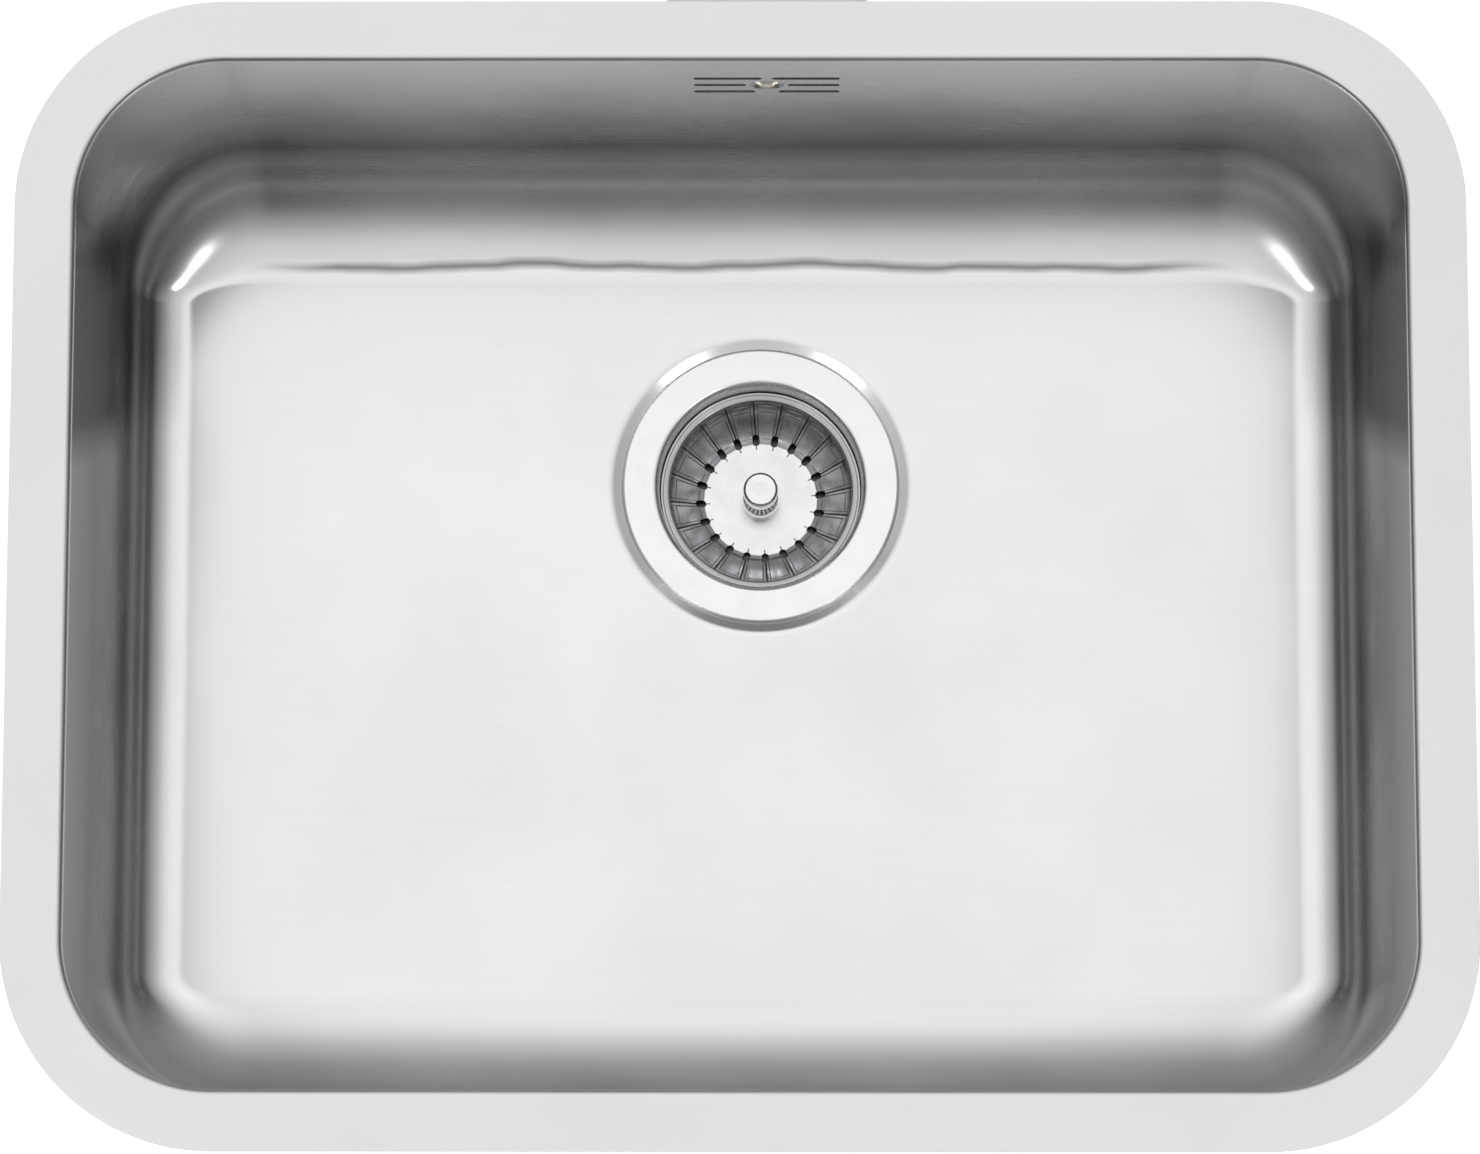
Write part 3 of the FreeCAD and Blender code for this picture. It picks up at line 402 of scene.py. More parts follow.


# painted shade: a thin uneven dark line along the crease at the foot of the back sweep, and the back sweep
# itself a little darker near the floor
def paintedFootShade(tree, look, place, spot, sheet, outward, rise):
    wander = addNode(tree, "ShaderNodeTexNoise", {
        "Vector": place, "Scale": look["wanderScale"], "Detail": 2.0}).outputs["Fac"]
    wander = times(tree, mathNode(tree, "SUBTRACT", wander, 0.5), look["wander"])
    away = mathNode(tree, "ADD", mathNode(tree, "ADD", sheet["Y"], look["rise"]), wander)
    away = mathNode(tree, "DIVIDE", mathNode(tree, "ABSOLUTE", away), look["width"])
    line = mathNode(tree, "SUBTRACT", 1.0, away, clamp=True)
    atBack = mapSpan(tree, spot["Y"], *look["back"])
    line = times(tree, line, mapSpan(tree, outward, *look["middle"]), atBack, look["strength"])
    sweep = mapSpan(tree, sheet["Y"], *look["sweepFrom"], 0.0, look["sweepShade"])
    low = mathNode(tree, "SUBTRACT", 1.0, times(tree, rise, look["sweepHigh"]), clamp=True)
    return line, times(tree, sweep, atBack, low)


# how bright the drawn walls stay under painted shade: darker over the upper walls, most of all at the
# sides, and darkest in a painted dark reflection zone towards the back of the side walls
def wallBrightness(tree, look, spot, sheet, outward, rise):
    inside = mathNode(tree, "LESS_THAN", sheet["Y"], look["innerFace"])
    atSide = mapSpan(tree, outward, *look["side"], look["endShare"], 1.0)
    paintedShade = times(tree, greyRamp(tree, rise, look["paintedShade"]), atSide, inside)
    zone = mapSpan(tree, outward, *look["zoneSide"])
    slanted = mathNode(tree, "ADD", spot["Y"], times(tree, spot["Z"], look["zoneSlant"]))
    for start, end in look["zoneEnds"]:
        zone = times(tree, zone, mapSpan(tree, slanted, start, end))
    zone = times(tree, zone, greyRamp(tree, rise, look["zone"]), inside, look["zoneStrength"])
    return times(tree, oneMinus(tree, paintedShade), oneMinus(tree, zone))


# drawing marks run round the bowl, strongest where the wall turns into the floor
def drawnMarks(tree, look, loop, spot):
    marks = []
    for across, around in (look["coarse"], look["fine"]):
        marks.append(useGroup(tree, streakGroup, Place=loop, Across=across, Along=around,
                              Detail=look["detail"]).outputs[0])
    mark = mathNode(tree, "ADD", marks[0], times(tree, marks[1], look["fineShare"]))
    return times(tree, mark, greyRamp(tree, mapSpan(tree, spot["Z"], *look["from"]), look["stops"]))


def bowlMaterial(look):
    material, tree, shader = newMaterial("bowlSteel", Metallic=1.0)
    place = objectPlace(tree)
    spot = vectorParts(tree, place)
    sheet = vectorParts(tree, addNode(tree, "ShaderNodeUVMap", uv_map="sheet").outputs[0])
    turn = times(tree, sheet["X"], 2 * pi)
    loop = vectorFrom(tree, X=sheet["Y"], Y=times(tree, mathNode(tree, "COSINE", turn), look["loopRadius"]),
                      Z=times(tree, mathNode(tree, "SINE", turn), look["loopRadius"]))
    onWall = mapSpan(tree, spot["Z"], *(rimLow.z + height for height in look["wallFrom"]))
    across, along = look["wallStreaks"]
    wallStreak = useGroup(tree, streakGroup, Place=loop, Across=across, Along=along).outputs[0]
    across, along = look["floorStreaks"]
    floorStreak = useGroup(tree, streakGroup, Place=place, Across=across, Along=along).outputs[0]
    streak = addNode(tree, "ShaderNodeMix", {0: onWall, 2: floorStreak, 3: wallStreak}).outputs[0]
    patch = useGroup(tree, patchGroup, Place=place, Scale=look["patchScale"]).outputs[0]
    tone = mathNode(tree, "ADD", times(tree, streak, 0.5), times(tree, patch, 0.5))
    rough = mapSpan(tree, tone, *look["toneRange"], *look["rough"])
    onRim = mapSpan(tree, spot["Z"], *look["rimFrom"])
    atFront = times(tree, mapSpan(tree, spot["Y"], *look["frontFrom"]), oneMinus(tree, onRim))
    onFloor = oneMinus(tree, onWall)
    for mask, amount in ((onRim, "rimRough"), (onFloor, "floorRough"), (atFront, "frontRough")):
        rough = mathNode(tree, "ADD", rough, times(tree, mask, look[amount]))
    tree.links.new(rough, shader.inputs["Roughness"])

    outward = mathNode(tree, "ABSOLUTE", spot["X"])
    rise = mapSpan(tree, spot["Z"], -bowlDepth, 0.0)
    # painted shade and painted dark reflections on the walls: they darken the reflections' tint at grazing
    # views and mix the base colour towards deep
    lost = oneMinus(tree, wallBrightness(tree, wallLook, spot, sheet, outward, rise))
    tree.links.new(oneMinus(tree, times(tree, lost, wallLook["grazing"])), shader.inputs["Specular Tint"])
    bright = oneMinus(tree, times(tree, lost, wallLook["facing"]))
    for mark in paintedFootShade(tree, footLook, place, spot, sheet, outward, rise):
        bright = times(tree, bright, oneMinus(tree, mark))
    darkAt, lightAt = look["toneRange"]
    steel = ramp(tree, tone, [(darkAt, look["dark"]), (lightAt, look["light"])])
    tree.links.new(mixColour(tree, bright, look["deep"], steel), shader.inputs["Base Color"])

    wave = addNode(tree, "ShaderNodeTexNoise", {
        "Vector": place, "Scale": look["waveScale"], "Detail": 1.5}).outputs["Fac"]
    normal = bumpFrom(tree, wave, look["waveHeight"])
    normal = bumpFrom(tree, drawnMarks(tree, drawnLook, loop, spot), drawnLook["height"], normal=normal)
    normal = bumpFrom(tree, streak, look["streakHeight"], normal=normal)
    tree.links.new(normal, shader.inputs["Normal"])
    return material


# steel of the turned and pressed pieces

# painted shade: thin dark lines along the creases and the pressed outlines of the basket's facets
def paintedCreaseShade(tree, folds):
    sheet = vectorParts(tree, addNode(tree, "ShaderNodeUVMap", uv_map="sheet").outputs[0])
    share = mathNode(tree, "FRACT", mathNode(tree, "ADD", sheet["X"], 0.5))
    share = mathNode(tree, "ABSOLUTE", mathNode(tree, "SUBTRACT", share, 0.5))
    low, high = folds["rows"]
    within = times(tree, mathNode(tree, "GREATER_THAN", sheet["Y"], low),
                   mathNode(tree, "LESS_THAN", sheet["Y"], high))
    onField = mathNode(tree, "GREATER_THAN", share, folds["border"])
    mask = 0.0
    for value, label in ((share, "crease"), (share, "side"), (sheet["Y"], "outer"), (sheet["Y"], "inner")):
        place, width, strength = folds[label]
        away = mathNode(tree, "ABSOLUTE", mathNode(tree, "SUBTRACT", value, place))
        line = mathNode(tree, "SUBTRACT", 1.0, mathNode(tree, "DIVIDE", away, width), clamp=True)
        if value is not share:
            line = times(tree, line, onField)
        mask = mathNode(tree, "MAXIMUM", mask, times(tree, line, strength))
    return times(tree, mask, within)


turnedLook = {
    "density": 1500.0, "patchScale": 90.0, "ringShare": 0.55, "toneRange": (0.25, 0.75),
    "ringHeight": 0.002 * mm, "paintedShadeColour": (0.015, 0.015, 0.016, 1), "creaseShadeColour": (0.02, 0.02, 0.021, 1)}


# the look may say how much painted shade darkens the steel along its height or its radius, and where its
# folds carry painted shade lines
def turnedSteel(name, centre, look):
    material, tree, shader = newMaterial(name, Metallic=1.0)
    place = objectPlace(tree, centre)
    look = turnedLook | look
    rings = useGroup(tree, turnedGroup, Place=place, Density=look["density"])
    ring = rings.outputs["Ring"]
    patch = useGroup(tree, patchGroup, Place=place, Scale=look["patchScale"]).outputs[0]
    tone = mathNode(tree, "ADD", times(tree, ring, look["ringShare"]),
                    times(tree, patch, 1 - look["ringShare"]))
    darkAt, lightAt = look["toneRange"]
    steel = ramp(tree, tone, [(darkAt, look["dark"]), (lightAt, look["light"])])
    # painted shade, mixed in by height or by radius
    if "paintedShadeStops" in look:
        along = vectorParts(tree, place)["Z"] if look["along"] == "height" else rings.outputs["Radius"]
        paintedShade = greyRamp(tree, mapSpan(tree, along, *look["span"]), look["paintedShadeStops"])
        steel = mixColour(tree, paintedShade, steel, look["paintedShadeColour"])
    # painted shade along the creases and the facets' pressed outlines
    if "folds" in look:
        steel = mixColour(tree, paintedCreaseShade(tree, look["folds"]), steel, look["creaseShadeColour"])
    tree.links.new(steel, shader.inputs["Base Color"])
    tree.links.new(mapSpan(tree, tone, darkAt, lightAt, *look["rough"]), shader.inputs["Roughness"])
    tree.links.new(bumpFrom(tree, ring, look["ringHeight"]), shader.inputs["Normal"])
    return material


def mouldedPlastic(name, light, dark, rough, grain=900.0, grainHeight=0.02 * mm):
    material, tree, shader = newMaterial(name, Specular_IOR_Level=0.45)
    place = objectPlace(tree)
    fine = addNode(tree, "ShaderNodeTexNoise", {
        "Vector": place, "Scale": grain, "Detail": 2.0}).outputs["Fac"]
    patch = useGroup(tree, patchGroup, Place=place, Scale=35.0, Low=0.3, High=0.7).outputs[0]
    tree.links.new(ramp(tree, patch, [(0.0, dark), (1.0, light)]), shader.inputs["Base Color"])
    tree.links.new(mapSpan(tree, fine, 0.0, 1.0, *rough), shader.inputs["Roughness"])
    tree.links.new(bumpFrom(tree, fine, grainHeight), shader.inputs["Normal"])
    return material


ringLook = {
    "light": (0.71, 0.71, 0.72), "dark": (0.66, 0.66, 0.67), "rough": (0.2, 0.3), "along": "height",
    "span": (-236 * mm, -190 * mm),
    # painted shade: the cup darker towards its floor
    "paintedShadeStops": [(0.0, 0.93), (0.12, 0.93), (0.24, 0.3), (0.62, 0.35), (0.8, 0.0)]}
basketLook = {
    "light": (0.70, 0.70, 0.71), "dark": (0.60, 0.60, 0.61), "rough": (0.16, 0.26), "along": "radius",
    "span": (0.0, 41 * mm),
    # painted shade on the basket's collar and rim, faint over the facets
    "paintedShadeStops": [(0.0, 0.0), (0.54, 0.0), (0.6, 0.04), (0.86, 0.06), (0.91, 0.6), (0.98, 0.3)],
    # rows of the sheet that hold the facets, then the place, width and strength of each painted shade line
    "folds": {"rows": (14.0, 24.6), "border": 0.14, "crease": (0.0, 0.05, 0.85),
              "side": (0.14, 0.035, 0.5), "outer": (16.5, 0.6, 0.75), "inner": (21.5, 0.5, 0.4)}}
knobLook = {"light": (0.68, 0.68, 0.69), "dark": (0.6, 0.6, 0.61), "rough": (0.1, 0.2), "density": 900.0}
fastenerLook = {"light": (0.72, 0.72, 0.73), "dark": (0.6, 0.6, 0.61), "rough": (0.25, 0.4)}
nickelLook = {"light": (0.86, 0.80, 0.68), "dark": (0.76, 0.69, 0.56), "rough": (0.22, 0.36)}
brassLook = {"light": (0.82, 0.62, 0.3), "dark": (0.66, 0.48, 0.2), "rough": (0.25, 0.4)}

bowlSteel = bowlMaterial(bowlLook)
wasteAxis = (*wasteAt, 0)
ringSteel = turnedSteel("ringSteel", wasteAxis, ringLook)
basketSteel = turnedSteel("basketSteel", wasteAxis, basketLook)
knobSteel = turnedSteel("knobSteel", wasteAxis, knobLook)
fastenerSteel = turnedSteel("fastenerSteel", wasteAxis, fastenerLook)
screwNickel = turnedSteel("screwNickel", (overflowAt[0], 0, overflowAt[1]), nickelLook)
insertBrass = turnedSteel("insertBrass", wasteAxis, brassLook)
sealRubber = mouldedPlastic("sealRubber", (0.045, 0.045, 0.05), (0.02, 0.02, 0.022), (0.55, 0.7))
padRubber = mouldedPlastic("padRubber", (0.17, 0.17, 0.18), (0.1, 0.1, 0.105), (0.7, 0.85), 400.0, 0.1 * mm)
wastePlastic = mouldedPlastic("wastePlastic", (0.84, 0.84, 0.83), (0.76, 0.76, 0.75), (0.35, 0.5))
nutPlastic = mouldedPlastic("nutPlastic", (0.8, 0.8, 0.79), (0.72, 0.72, 0.71), (0.35, 0.5))
pipePlastic = mouldedPlastic("pipePlastic", (0.86, 0.86, 0.85), (0.8, 0.8, 0.79), (0.25, 0.38))
clipPlastic = mouldedPlastic("clipPlastic", (0.9, 0.9, 0.88), (0.82, 0.82, 0.8), (0.35, 0.5))
materialOf = {
    "bowl_steel": bowlSteel, "waste_steel": ringSteel, "basket_steel": basketSteel,
    "knob_steel": knobSteel, "fastener_steel": fastenerSteel, "screw_nickel": screwNickel,
    "insert_brass": insertBrass, "seal_rubber": sealRubber, "pad_rubber": padRubber,
    "waste_plastic": wastePlastic, "nut_plastic": nutPlastic, "pipe_plastic": pipePlastic,
    "clip_plastic": clipPlastic}


# gives a finished mesh its object, finish and body, in place of a CAD node
def placePiece(name, mesh, node, body):
    slotName = next(part["material_slot"] for part in frame["record"]["subparts"] if part["node"] == node)
    mesh.materials.clear()
    mesh.materials.append(materialOf[slotName])
    piece = newObject(name, mesh)
    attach(piece, body)
    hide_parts(node)


# bowl: one pressed sheet

bowlShape = {
    "flange": 22.5 * mm, "openingCorner": 55.5 * mm, "rimBend": 2.5 * mm, "gauge": 1 * mm,
    "depth": bowlDepth, "sideSweep": 23 * mm, "backSweep": 46 * mm, "frontSweep": 42 * mm,
    "recessRadius": 61 * mm, "recessDepth": 3 * mm, "recessSlope": 6.4 * mm, "recessBend": 8 * mm,
    "recessStart": 5 * mm, "holeRadius": 45 * mm, "edge": 0.2 * mm, "foot": 1.2 * mm,
    # how finely the sheet is divided
    "longRun": 40, "shortRun": 28, "cornerSteps": 32, "edgeSteps": 3, "rimSteps": 10, "sweepSteps": 30,
    "floorRows": (0.03, 0.12, 0.25, 0.4, 0.55, 0.7, 0.85)}
slotShape = {
    "Pitch": 10.4 * mm, "Height": 3.6 * mm, "Reach": 27.8 * mm, "Top Start": 2 * mm,
    "Middle Start": 8 * mm, "Low Start": 4.5 * mm, "Dish Radius": 6.5 * mm,
    "Dish Low Radius": 4.9 * mm, "Dish Depth": 2 * mm, "Screw Hole": 2.8 * mm}
punchShape = {"reach": 5 * mm, "holeDepth": 4.0, "endBend": 0.45, "endSteps": 8, "discSides": 48}


# points round the opening, each with its outward angle in degrees
def openingStations(shape, halfWidth, halfLength):
    corner = shape["openingCorner"]
    stations = []
    straight = {0: shape["shortRun"], 90: shape["longRun"], 180: shape["shortRun"], 270: shape["longRun"]}
    signs = {0: (1, 1), 90: (-1, 1), 180: (-1, -1), 270: (1, -1)}
    for facing, steps in straight.items():
        outward = Vector((round(cos(radians(facing))), round(sin(radians(facing)))))
        onward = Vector((-outward.y, outward.x))
        face = halfWidth if facing % 180 == 0 else halfLength
        half = (halfLength if facing % 180 == 0 else halfWidth) - corner
        for step in range(steps):
            stations.append((outward * face + onward * half * (2 * step / steps - 1), facing))
        across, up = signs[facing]
        middle = Vector((across * (halfWidth - corner), up * (halfLength - corner)))
        for step in range(shape["cornerSteps"]):
            angle = facing + 90 * step / shape["cornerSteps"]
            stations.append((middle + Vector((cos(radians(angle)), sin(radians(angle)))) * corner, angle))
    return stations


# one column of a face of the sheet, from the rim's edge down the wall and over the floor to the waste
def bowlColumn(shape, point, angle, under):
    gauge = shape["gauge"] if under else 0
    flange, depth, corner = shape["flange"], shape["depth"], shape["openingCorner"]
    outward = Vector((cos(radians(angle)), sin(radians(angle))))
    # the floor's corner is a quarter of an ellipse, so its outline never folds back
    side = corner - shape["sideSweep"]
    end = corner - (shape["backSweep"] if angle < 180 else shape["frontSweep"])
    sweep = corner - side * end / hypot(end * outward.x, side * outward.y)
    foot = sweep + shape["foot"]
    wall = softPath([
        (-flange, -shape["gauge"] / 2), (-flange, -gauge, shape["edge"], shape["edgeSteps"]),
        (-gauge, -gauge, shape["rimBend"] - gauge, shape["rimSteps"]),
        (-gauge, -depth - gauge, sweep + gauge, shape["sweepSteps"]), (foot, -depth - gauge)])
    column = [(*(point - outward * inset), height) for inset, height in wall]
    middle = Vector(wasteAt)
    spoke = point - outward * foot - middle
    radius, low = shape["recessRadius"], -depth - shape["recessDepth"]
    recess = offsetPath(softPath([
        (radius + shape["recessStart"], -depth), (radius, -depth, shape["recessBend"]),
        (radius - shape["recessSlope"], low, shape["recessBend"]), (shape["holeRadius"], low)]), gauge)
    start = recess[0][0]
    for share in shape["floorRows"]:
        at = middle + spoke.normalized() * (spoke.length + (start - spoke.length) * share)
        column.append((*at, -depth - gauge))
    column += [(*(middle + spoke.normalized() * radius), height) for radius, height in recess]
    return column


def makeBowlSheet(shape):
    stations = openingStations(shape, rimHigh.x - shape["flange"], rimHigh.y - shape["flange"])
    columns = [bowlColumn(shape, point, angle, False) + bowlColumn(shape, point, angle, True)[::-1]
               for point, angle in stations]
    along, across = [0.0], [0.0]
    for (before, _), (after, _) in zip(stations, stations[1:] + stations[:1]):
        along.append(along[-1] + (after - before).length)
    for before, after in zip(columns[0], columns[0][1:] + columns[0][:1]):
        across.append(across[-1] + (Vector(after) - Vector(before)).length)
    footAt = next(at for at, (_, _, height) in enumerate(columns[0]) if height < -shape["depth"] + 1e-6)
    along = [value / along[-1] for value in along]
    across = [value - across[footAt] for value in across]
    return ringShell("bowlSheet", list(zip(*columns)), along, across)


# the tree that presses the dish and punches the slots and the screw hole
def punchTree(shape):
    inputs = [(label, "NodeSocketFloat", value) for label, value in slotShape.items()]
    inputs += [("Gauge", "NodeSocketFloat", bowlShape["gauge"]), ("Overflow", "NodeSocketVector", None)]
    tree, given, result = newTree("overflowPunch", "GeometryNodeTree",
                                  [("Geometry", "NodeSocketGeometry", None)] + inputs,
                                  [("Geometry", "NodeSocketGeometry")])
    run = geometryNode(tree, "CurvePrimitiveLine", {
        "Start": (0, -shape["reach"], 0), "End": (0, shape["reach"], 0)})
    cutters = []
    for label, row in (("Top Start", 1.0), ("Middle Start", 0.0), ("Low Start", -1.0)):
        width = mathNode(tree, "SUBTRACT", given["Reach"], given[label])
        middle = times(tree, mathNode(tree, "ADD", given["Reach"], given[label]), 0.5)
        box = geometryNode(tree, "CurvePrimitiveQuadrilateral", {
            "Width": width, "Height": given["Height"]})
        bend = times(tree, given["Height"], shape["endBend"])
        outline = geometryNode(tree, "FilletCurve", {
            "Curve": box, "Count": shape["endSteps"], "Radius": bend}, mode="POLY")
        punch = geometryNode(tree, "CurveToMesh", {
            "Curve": run, "Profile Curve": outline, "Fill Caps": True})
        height = times(tree, given["Pitch"], row)
        for side in (1.0, -1.0):
            place = vectorFrom(tree, X=times(tree, middle, side), Z=height)
            cutters.append(geometryNode(tree, "Transform", {"Geometry": punch, "Translation": place}))

    # a disc or cone that lies in the back wall
    def disc(radius, lowRadius, deep, shift):
        cone = geometryNode(tree, "MeshCone", {
            "Vertices": shape["discSides"], "Radius Top": lowRadius, "Radius Bottom": radius,
            "Depth": deep})
        turned = geometryNode(tree, "Transform", {"Geometry": cone, "Rotation": (-radians(90), 0, 0)})
        place = vectorFrom(tree, Y=shift)
        return geometryNode(tree, "Transform", {"Geometry": turned, "Translation": place})

    gauge = given["Gauge"]
    back = disc(mathNode(tree, "ADD", given["Dish Radius"], gauge),
                mathNode(tree, "ADD", given["Dish Low Radius"], gauge), given["Dish Depth"], gauge)
    front = disc(given["Dish Radius"], given["Dish Low Radius"], given["Dish Depth"], 0.0)
    depth = times(tree, gauge, shape["holeDepth"])
    hole = disc(given["Screw Hole"], given["Screw Hole"], depth, times(tree, depth, -0.5))
    joined = addNode(tree, "GeometryNodeJoinGeometry")
    for cutter in cutters + [front, hole]:
        tree.links.new(cutter, joined.inputs[0])
    moved = [geometryNode(tree, "Transform", {"Geometry": part, "Translation": given["Overflow"]})
             for part in (back, joined.outputs[0])]
    pressed = addNode(tree, "GeometryNodeMeshBoolean", {"Mesh 2": moved[0]},
                      operation="UNION", solver="MANIFOLD")
    tree.links.new(given["Geometry"], pressed.inputs["Mesh 2"])
    punched = geometryNode(tree, "MeshBoolean", {"Mesh 1": pressed.outputs[0], "Mesh 2": moved[1]},
                           operation="DIFFERENCE", solver="MANIFOLD")
    endTree(tree, punched, result, bowlSteel)
    return tree


bowlSheet = makeBowlSheet(bowlShape)
print("bowl sheet:", len(bowlSheet.polygons), "faces")
wallBack = rimHigh.y - bowlShape["flange"]
bowlMesh = bakeTree("bowlPressed", punchTree(punchShape), bowlSheet, Gauge=bowlShape["gauge"],
                    Overflow=(overflowAt[0], wallBack, overflowAt[1]), **slotShape)
placePiece("bowlPressed", bowlMesh, "bowl", "sink")
print("bowl pressed:", len(bowlMesh.polygons), "faces")


# waste: steel ring and cup

cupShape = {
    "ringRadius": 55.5 * mm, "ringTop": -191 * mm, "gauge": 1 * mm, "mouthRadius": 41.2 * mm,
    "ledge": -207.3 * mm, "lowRadius": 38.8 * mm, "floor": -234.5 * mm, "wellRadius": 17.5 * mm,
    "wellFloor": -243.5 * mm, "bore": 5.1 * mm, "lip": -192.8 * mm,
    "ringBend": 0.4 * mm, "mouthBend": 3 * mm, "ledgeBend": 0.8 * mm, "stepBend": 0.6 * mm,
    "floorBend": 4 * mm, "wellBend": 1.5 * mm, "underWell": 0.5 * mm, "underStep": 0.4 * mm,
    "underLedge": 0.5 * mm, "underRing": 0.2 * mm, "steps": 160}
drainShape = {"Hole": 3.4 * mm, "Circle": 13.2 * mm, "Punch": 6 * mm}
drainHoles, drainSides = 6, 32


def makeCup(shape):
    gauge, bore, lip = shape["gauge"], shape["bore"], shape["lip"]
    ring, mouth = shape["ringRadius"], shape["mouthRadius"]
    low, well = shape["lowRadius"], shape["wellRadius"]
    top, ledge, floor, wellFloor = (shape[key] for key in ("ringTop", "ledge", "floor", "wellFloor"))
    upper = [
        (ring, lip), (ring, top, shape["ringBend"]), (mouth, top, shape["mouthBend"]),
        (mouth, ledge, shape["ledgeBend"]), (low, ledge, shape["stepBend"]),
        (low, floor, shape["floorBend"]), (well, floor, shape["wellBend"]),
        (well, wellFloor, shape["wellBend"]), (bore, wellFloor)]
    under = [
        (bore, wellFloor - gauge), (well + gauge, wellFloor - gauge, shape["wellBend"] + gauge),
        (well + gauge, floor - gauge, shape["underWell"]),
        (low + gauge, floor - gauge, shape["floorBend"] + gauge),
        (low + gauge, ledge - gauge, shape["underStep"]),
        (mouth + gauge, ledge - gauge, shape["underLedge"]),
        (mouth + gauge, top - gauge, shape["mouthBend"] - gauge),
        (ring - gauge, top - gauge, shape["underRing"]), (ring - gauge, lip)]
    return turnedMesh("wasteCup", softPath(upper) + softPath(under), wasteAt, shape["steps"], closed=True)


# the tree that punches a ring of round holes
def drainTree():
    inputs = [(label, "NodeSocketFloat", value) for label, value in drainShape.items()]
    tree, given, result = newTree("drainHoles", "GeometryNodeTree", [
        ("Geometry", "NodeSocketGeometry", None), ("Centre", "NodeSocketVector", None),
        ("Holes", "NodeSocketInt", drainHoles)] + inputs, [("Geometry", "NodeSocketGeometry")])
    ring = geometryNode(tree, "MeshCircle", {"Vertices": given["Holes"], "Radius": given["Circle"]})
    punch = geometryNode(tree, "MeshCylinder", {
        "Vertices": drainSides, "Radius": given["Hole"], "Depth": given["Punch"]})
    endPunched(tree, given, result, {"Points": ring, "Instance": punch}, ringSteel)
    return tree


cupMesh = bakeTree("wasteCup", drainTree(), makeCup(cupShape), Centre=(*wasteAt, cupShape["wellFloor"]),
                   Holes=drainHoles, **drainShape)
placePiece("wasteCup", cupMesh, "waste_flange", "sink")
print("waste cup:", len(cupMesh.polygons), "faces")


# strainer basket

basketShape = {
    "gauge": 0.8 * mm, "rimTop": -206.2 * mm, "rimRadius": 40.1 * mm, "collarRadius": 37.2 * mm,
    "rimBend": 1.0 * mm, "facetTop": -215.2 * mm, "discRadius": 23.5 * mm, "discTop": -229.2 * mm,
    "facets": 20, "firstCrease": 94.5, "press": 0.4 * mm, "border": 0.12, "crease": 0.3 * mm,
    "bore": 2.5 * mm,
    # the rim's edge, inwards from its radius and down from its top
    "rimEdge": ((0.1 * mm, 0.35 * mm), (0.25 * mm, 0.08 * mm), (0.6 * mm, 0.0)),
    "collarRows": (0.4, 0.7, 0.9, 0.98),
    # share of the way down, share of facet, share of pressing
    "facetRows": ((0.0, 0.7, 0), (0.03, 1, 0), (0.13, 1, 0), (0.18, 1, 1), (0.35, 1, 1), (0.55, 1, 1),
                  (0.75, 1, 1), (0.82, 1, 1), (0.88, 1, 0), (0.96, 1, 0), (1.0, 1, 0)),
    # radius, share of facet
    "discRows": ((22.6 * mm, 0.7), (21.0 * mm, 0.3), (18.0 * mm, 0), (14.0 * mm, 0), (9.0 * mm, 0),
                 (4.0 * mm, 0)),
    "fold": 0.04, "fieldColumns": (0.35, 0.5, 0.65)}
strainShape = {
    "Length": 4.2 * mm, "Width": 2.9 * mm, "Circle": 24.7 * mm,
    "First": radians(basketShape["firstCrease"])}
slotCut = {"bend": 0.42, "bendSteps": 5, "below": -4 * mm, "above": 5 * mm}


# rings of the basket's sheet: radius, height, share of facet, share of pressing
def basketSection(shape):
    bend, collar = shape["rimBend"], shape["collarRadius"]
    rimTop, top, low = shape["rimTop"], shape["facetTop"], shape["discTop"]
    section = [(shape["rimRadius"] - inward, rimTop - down, 0, 0) for inward, down in shape["rimEdge"]]
    for angle in range(0, 91, 15):
        a = radians(angle)
        section.append((collar + bend - bend * sin(a), rimTop - bend + bend * cos(a), 0, 0))
    section += [(collar, rimTop + (top - rimTop) * share, 0, 0) for share in shape["collarRows"]]
    drop, run = low - top, shape["discRadius"] - collar
    section += [(collar + run * share, top + drop * share, facet, press)
                for share, facet, press in shape["facetRows"]]
    section += [(radius, low, facet, 0) for radius, facet in shape["discRows"]]
    return section + [(shape["bore"], low, 0, 0)]


def makeBasket(shape):
    facets, gauge, border, fold = (shape[key] for key in ("facets", "gauge", "border", "fold"))
    columns = (0, fold, border, border + fold, *shape["fieldColumns"],
               1 - fold - border, 1 - border, 1 - fold)
    half = pi / facets
    angles = [(facet + column) * 2 * half for facet in range(facets) for column in columns]
    section = basketSection(shape)
    profile = [(radius, height) for radius, height, _, _ in section]
    shift = [(Vector(moved) - Vector(here)) for here, moved in zip(profile, offsetPath(profile, gauge))]
    upper, under = [], []
    for at, (radius, height, facet, press) in enumerate(section):
        ringUp, ringUnder = [], []
        for number, angle in enumerate(angles):
            share = columns[number % len(columns)]
            flat = cos(half) / cos((share - 0.5) * 2 * half)
            swell = 1 + (flat - 1) * facet
            inner = border < share < 1 - border
            sink = shape["press"] if press and inner else 0
            sink += shape["crease"] * facet * (share == 0)
            normal = shift[at].normalized()
            turn = angle + radians(shape["firstCrease"])
            for ring, deep in ((ringUp, sink), (ringUnder, sink + gauge)):
                r, z = radius * swell + normal.x * deep, height + normal.y * deep
                ring.append((wasteAt[0] + r * cos(turn), wasteAt[1] + r * sin(turn), z))
        upper.append(ringUp)
        under.append(ringUnder)
    rings = upper + under[::-1]
    along = [facet + column for facet in range(facets) for column in columns] + [facets]
    return ringShell("strainerDish", rings, along, list(range(len(rings) + 1)))


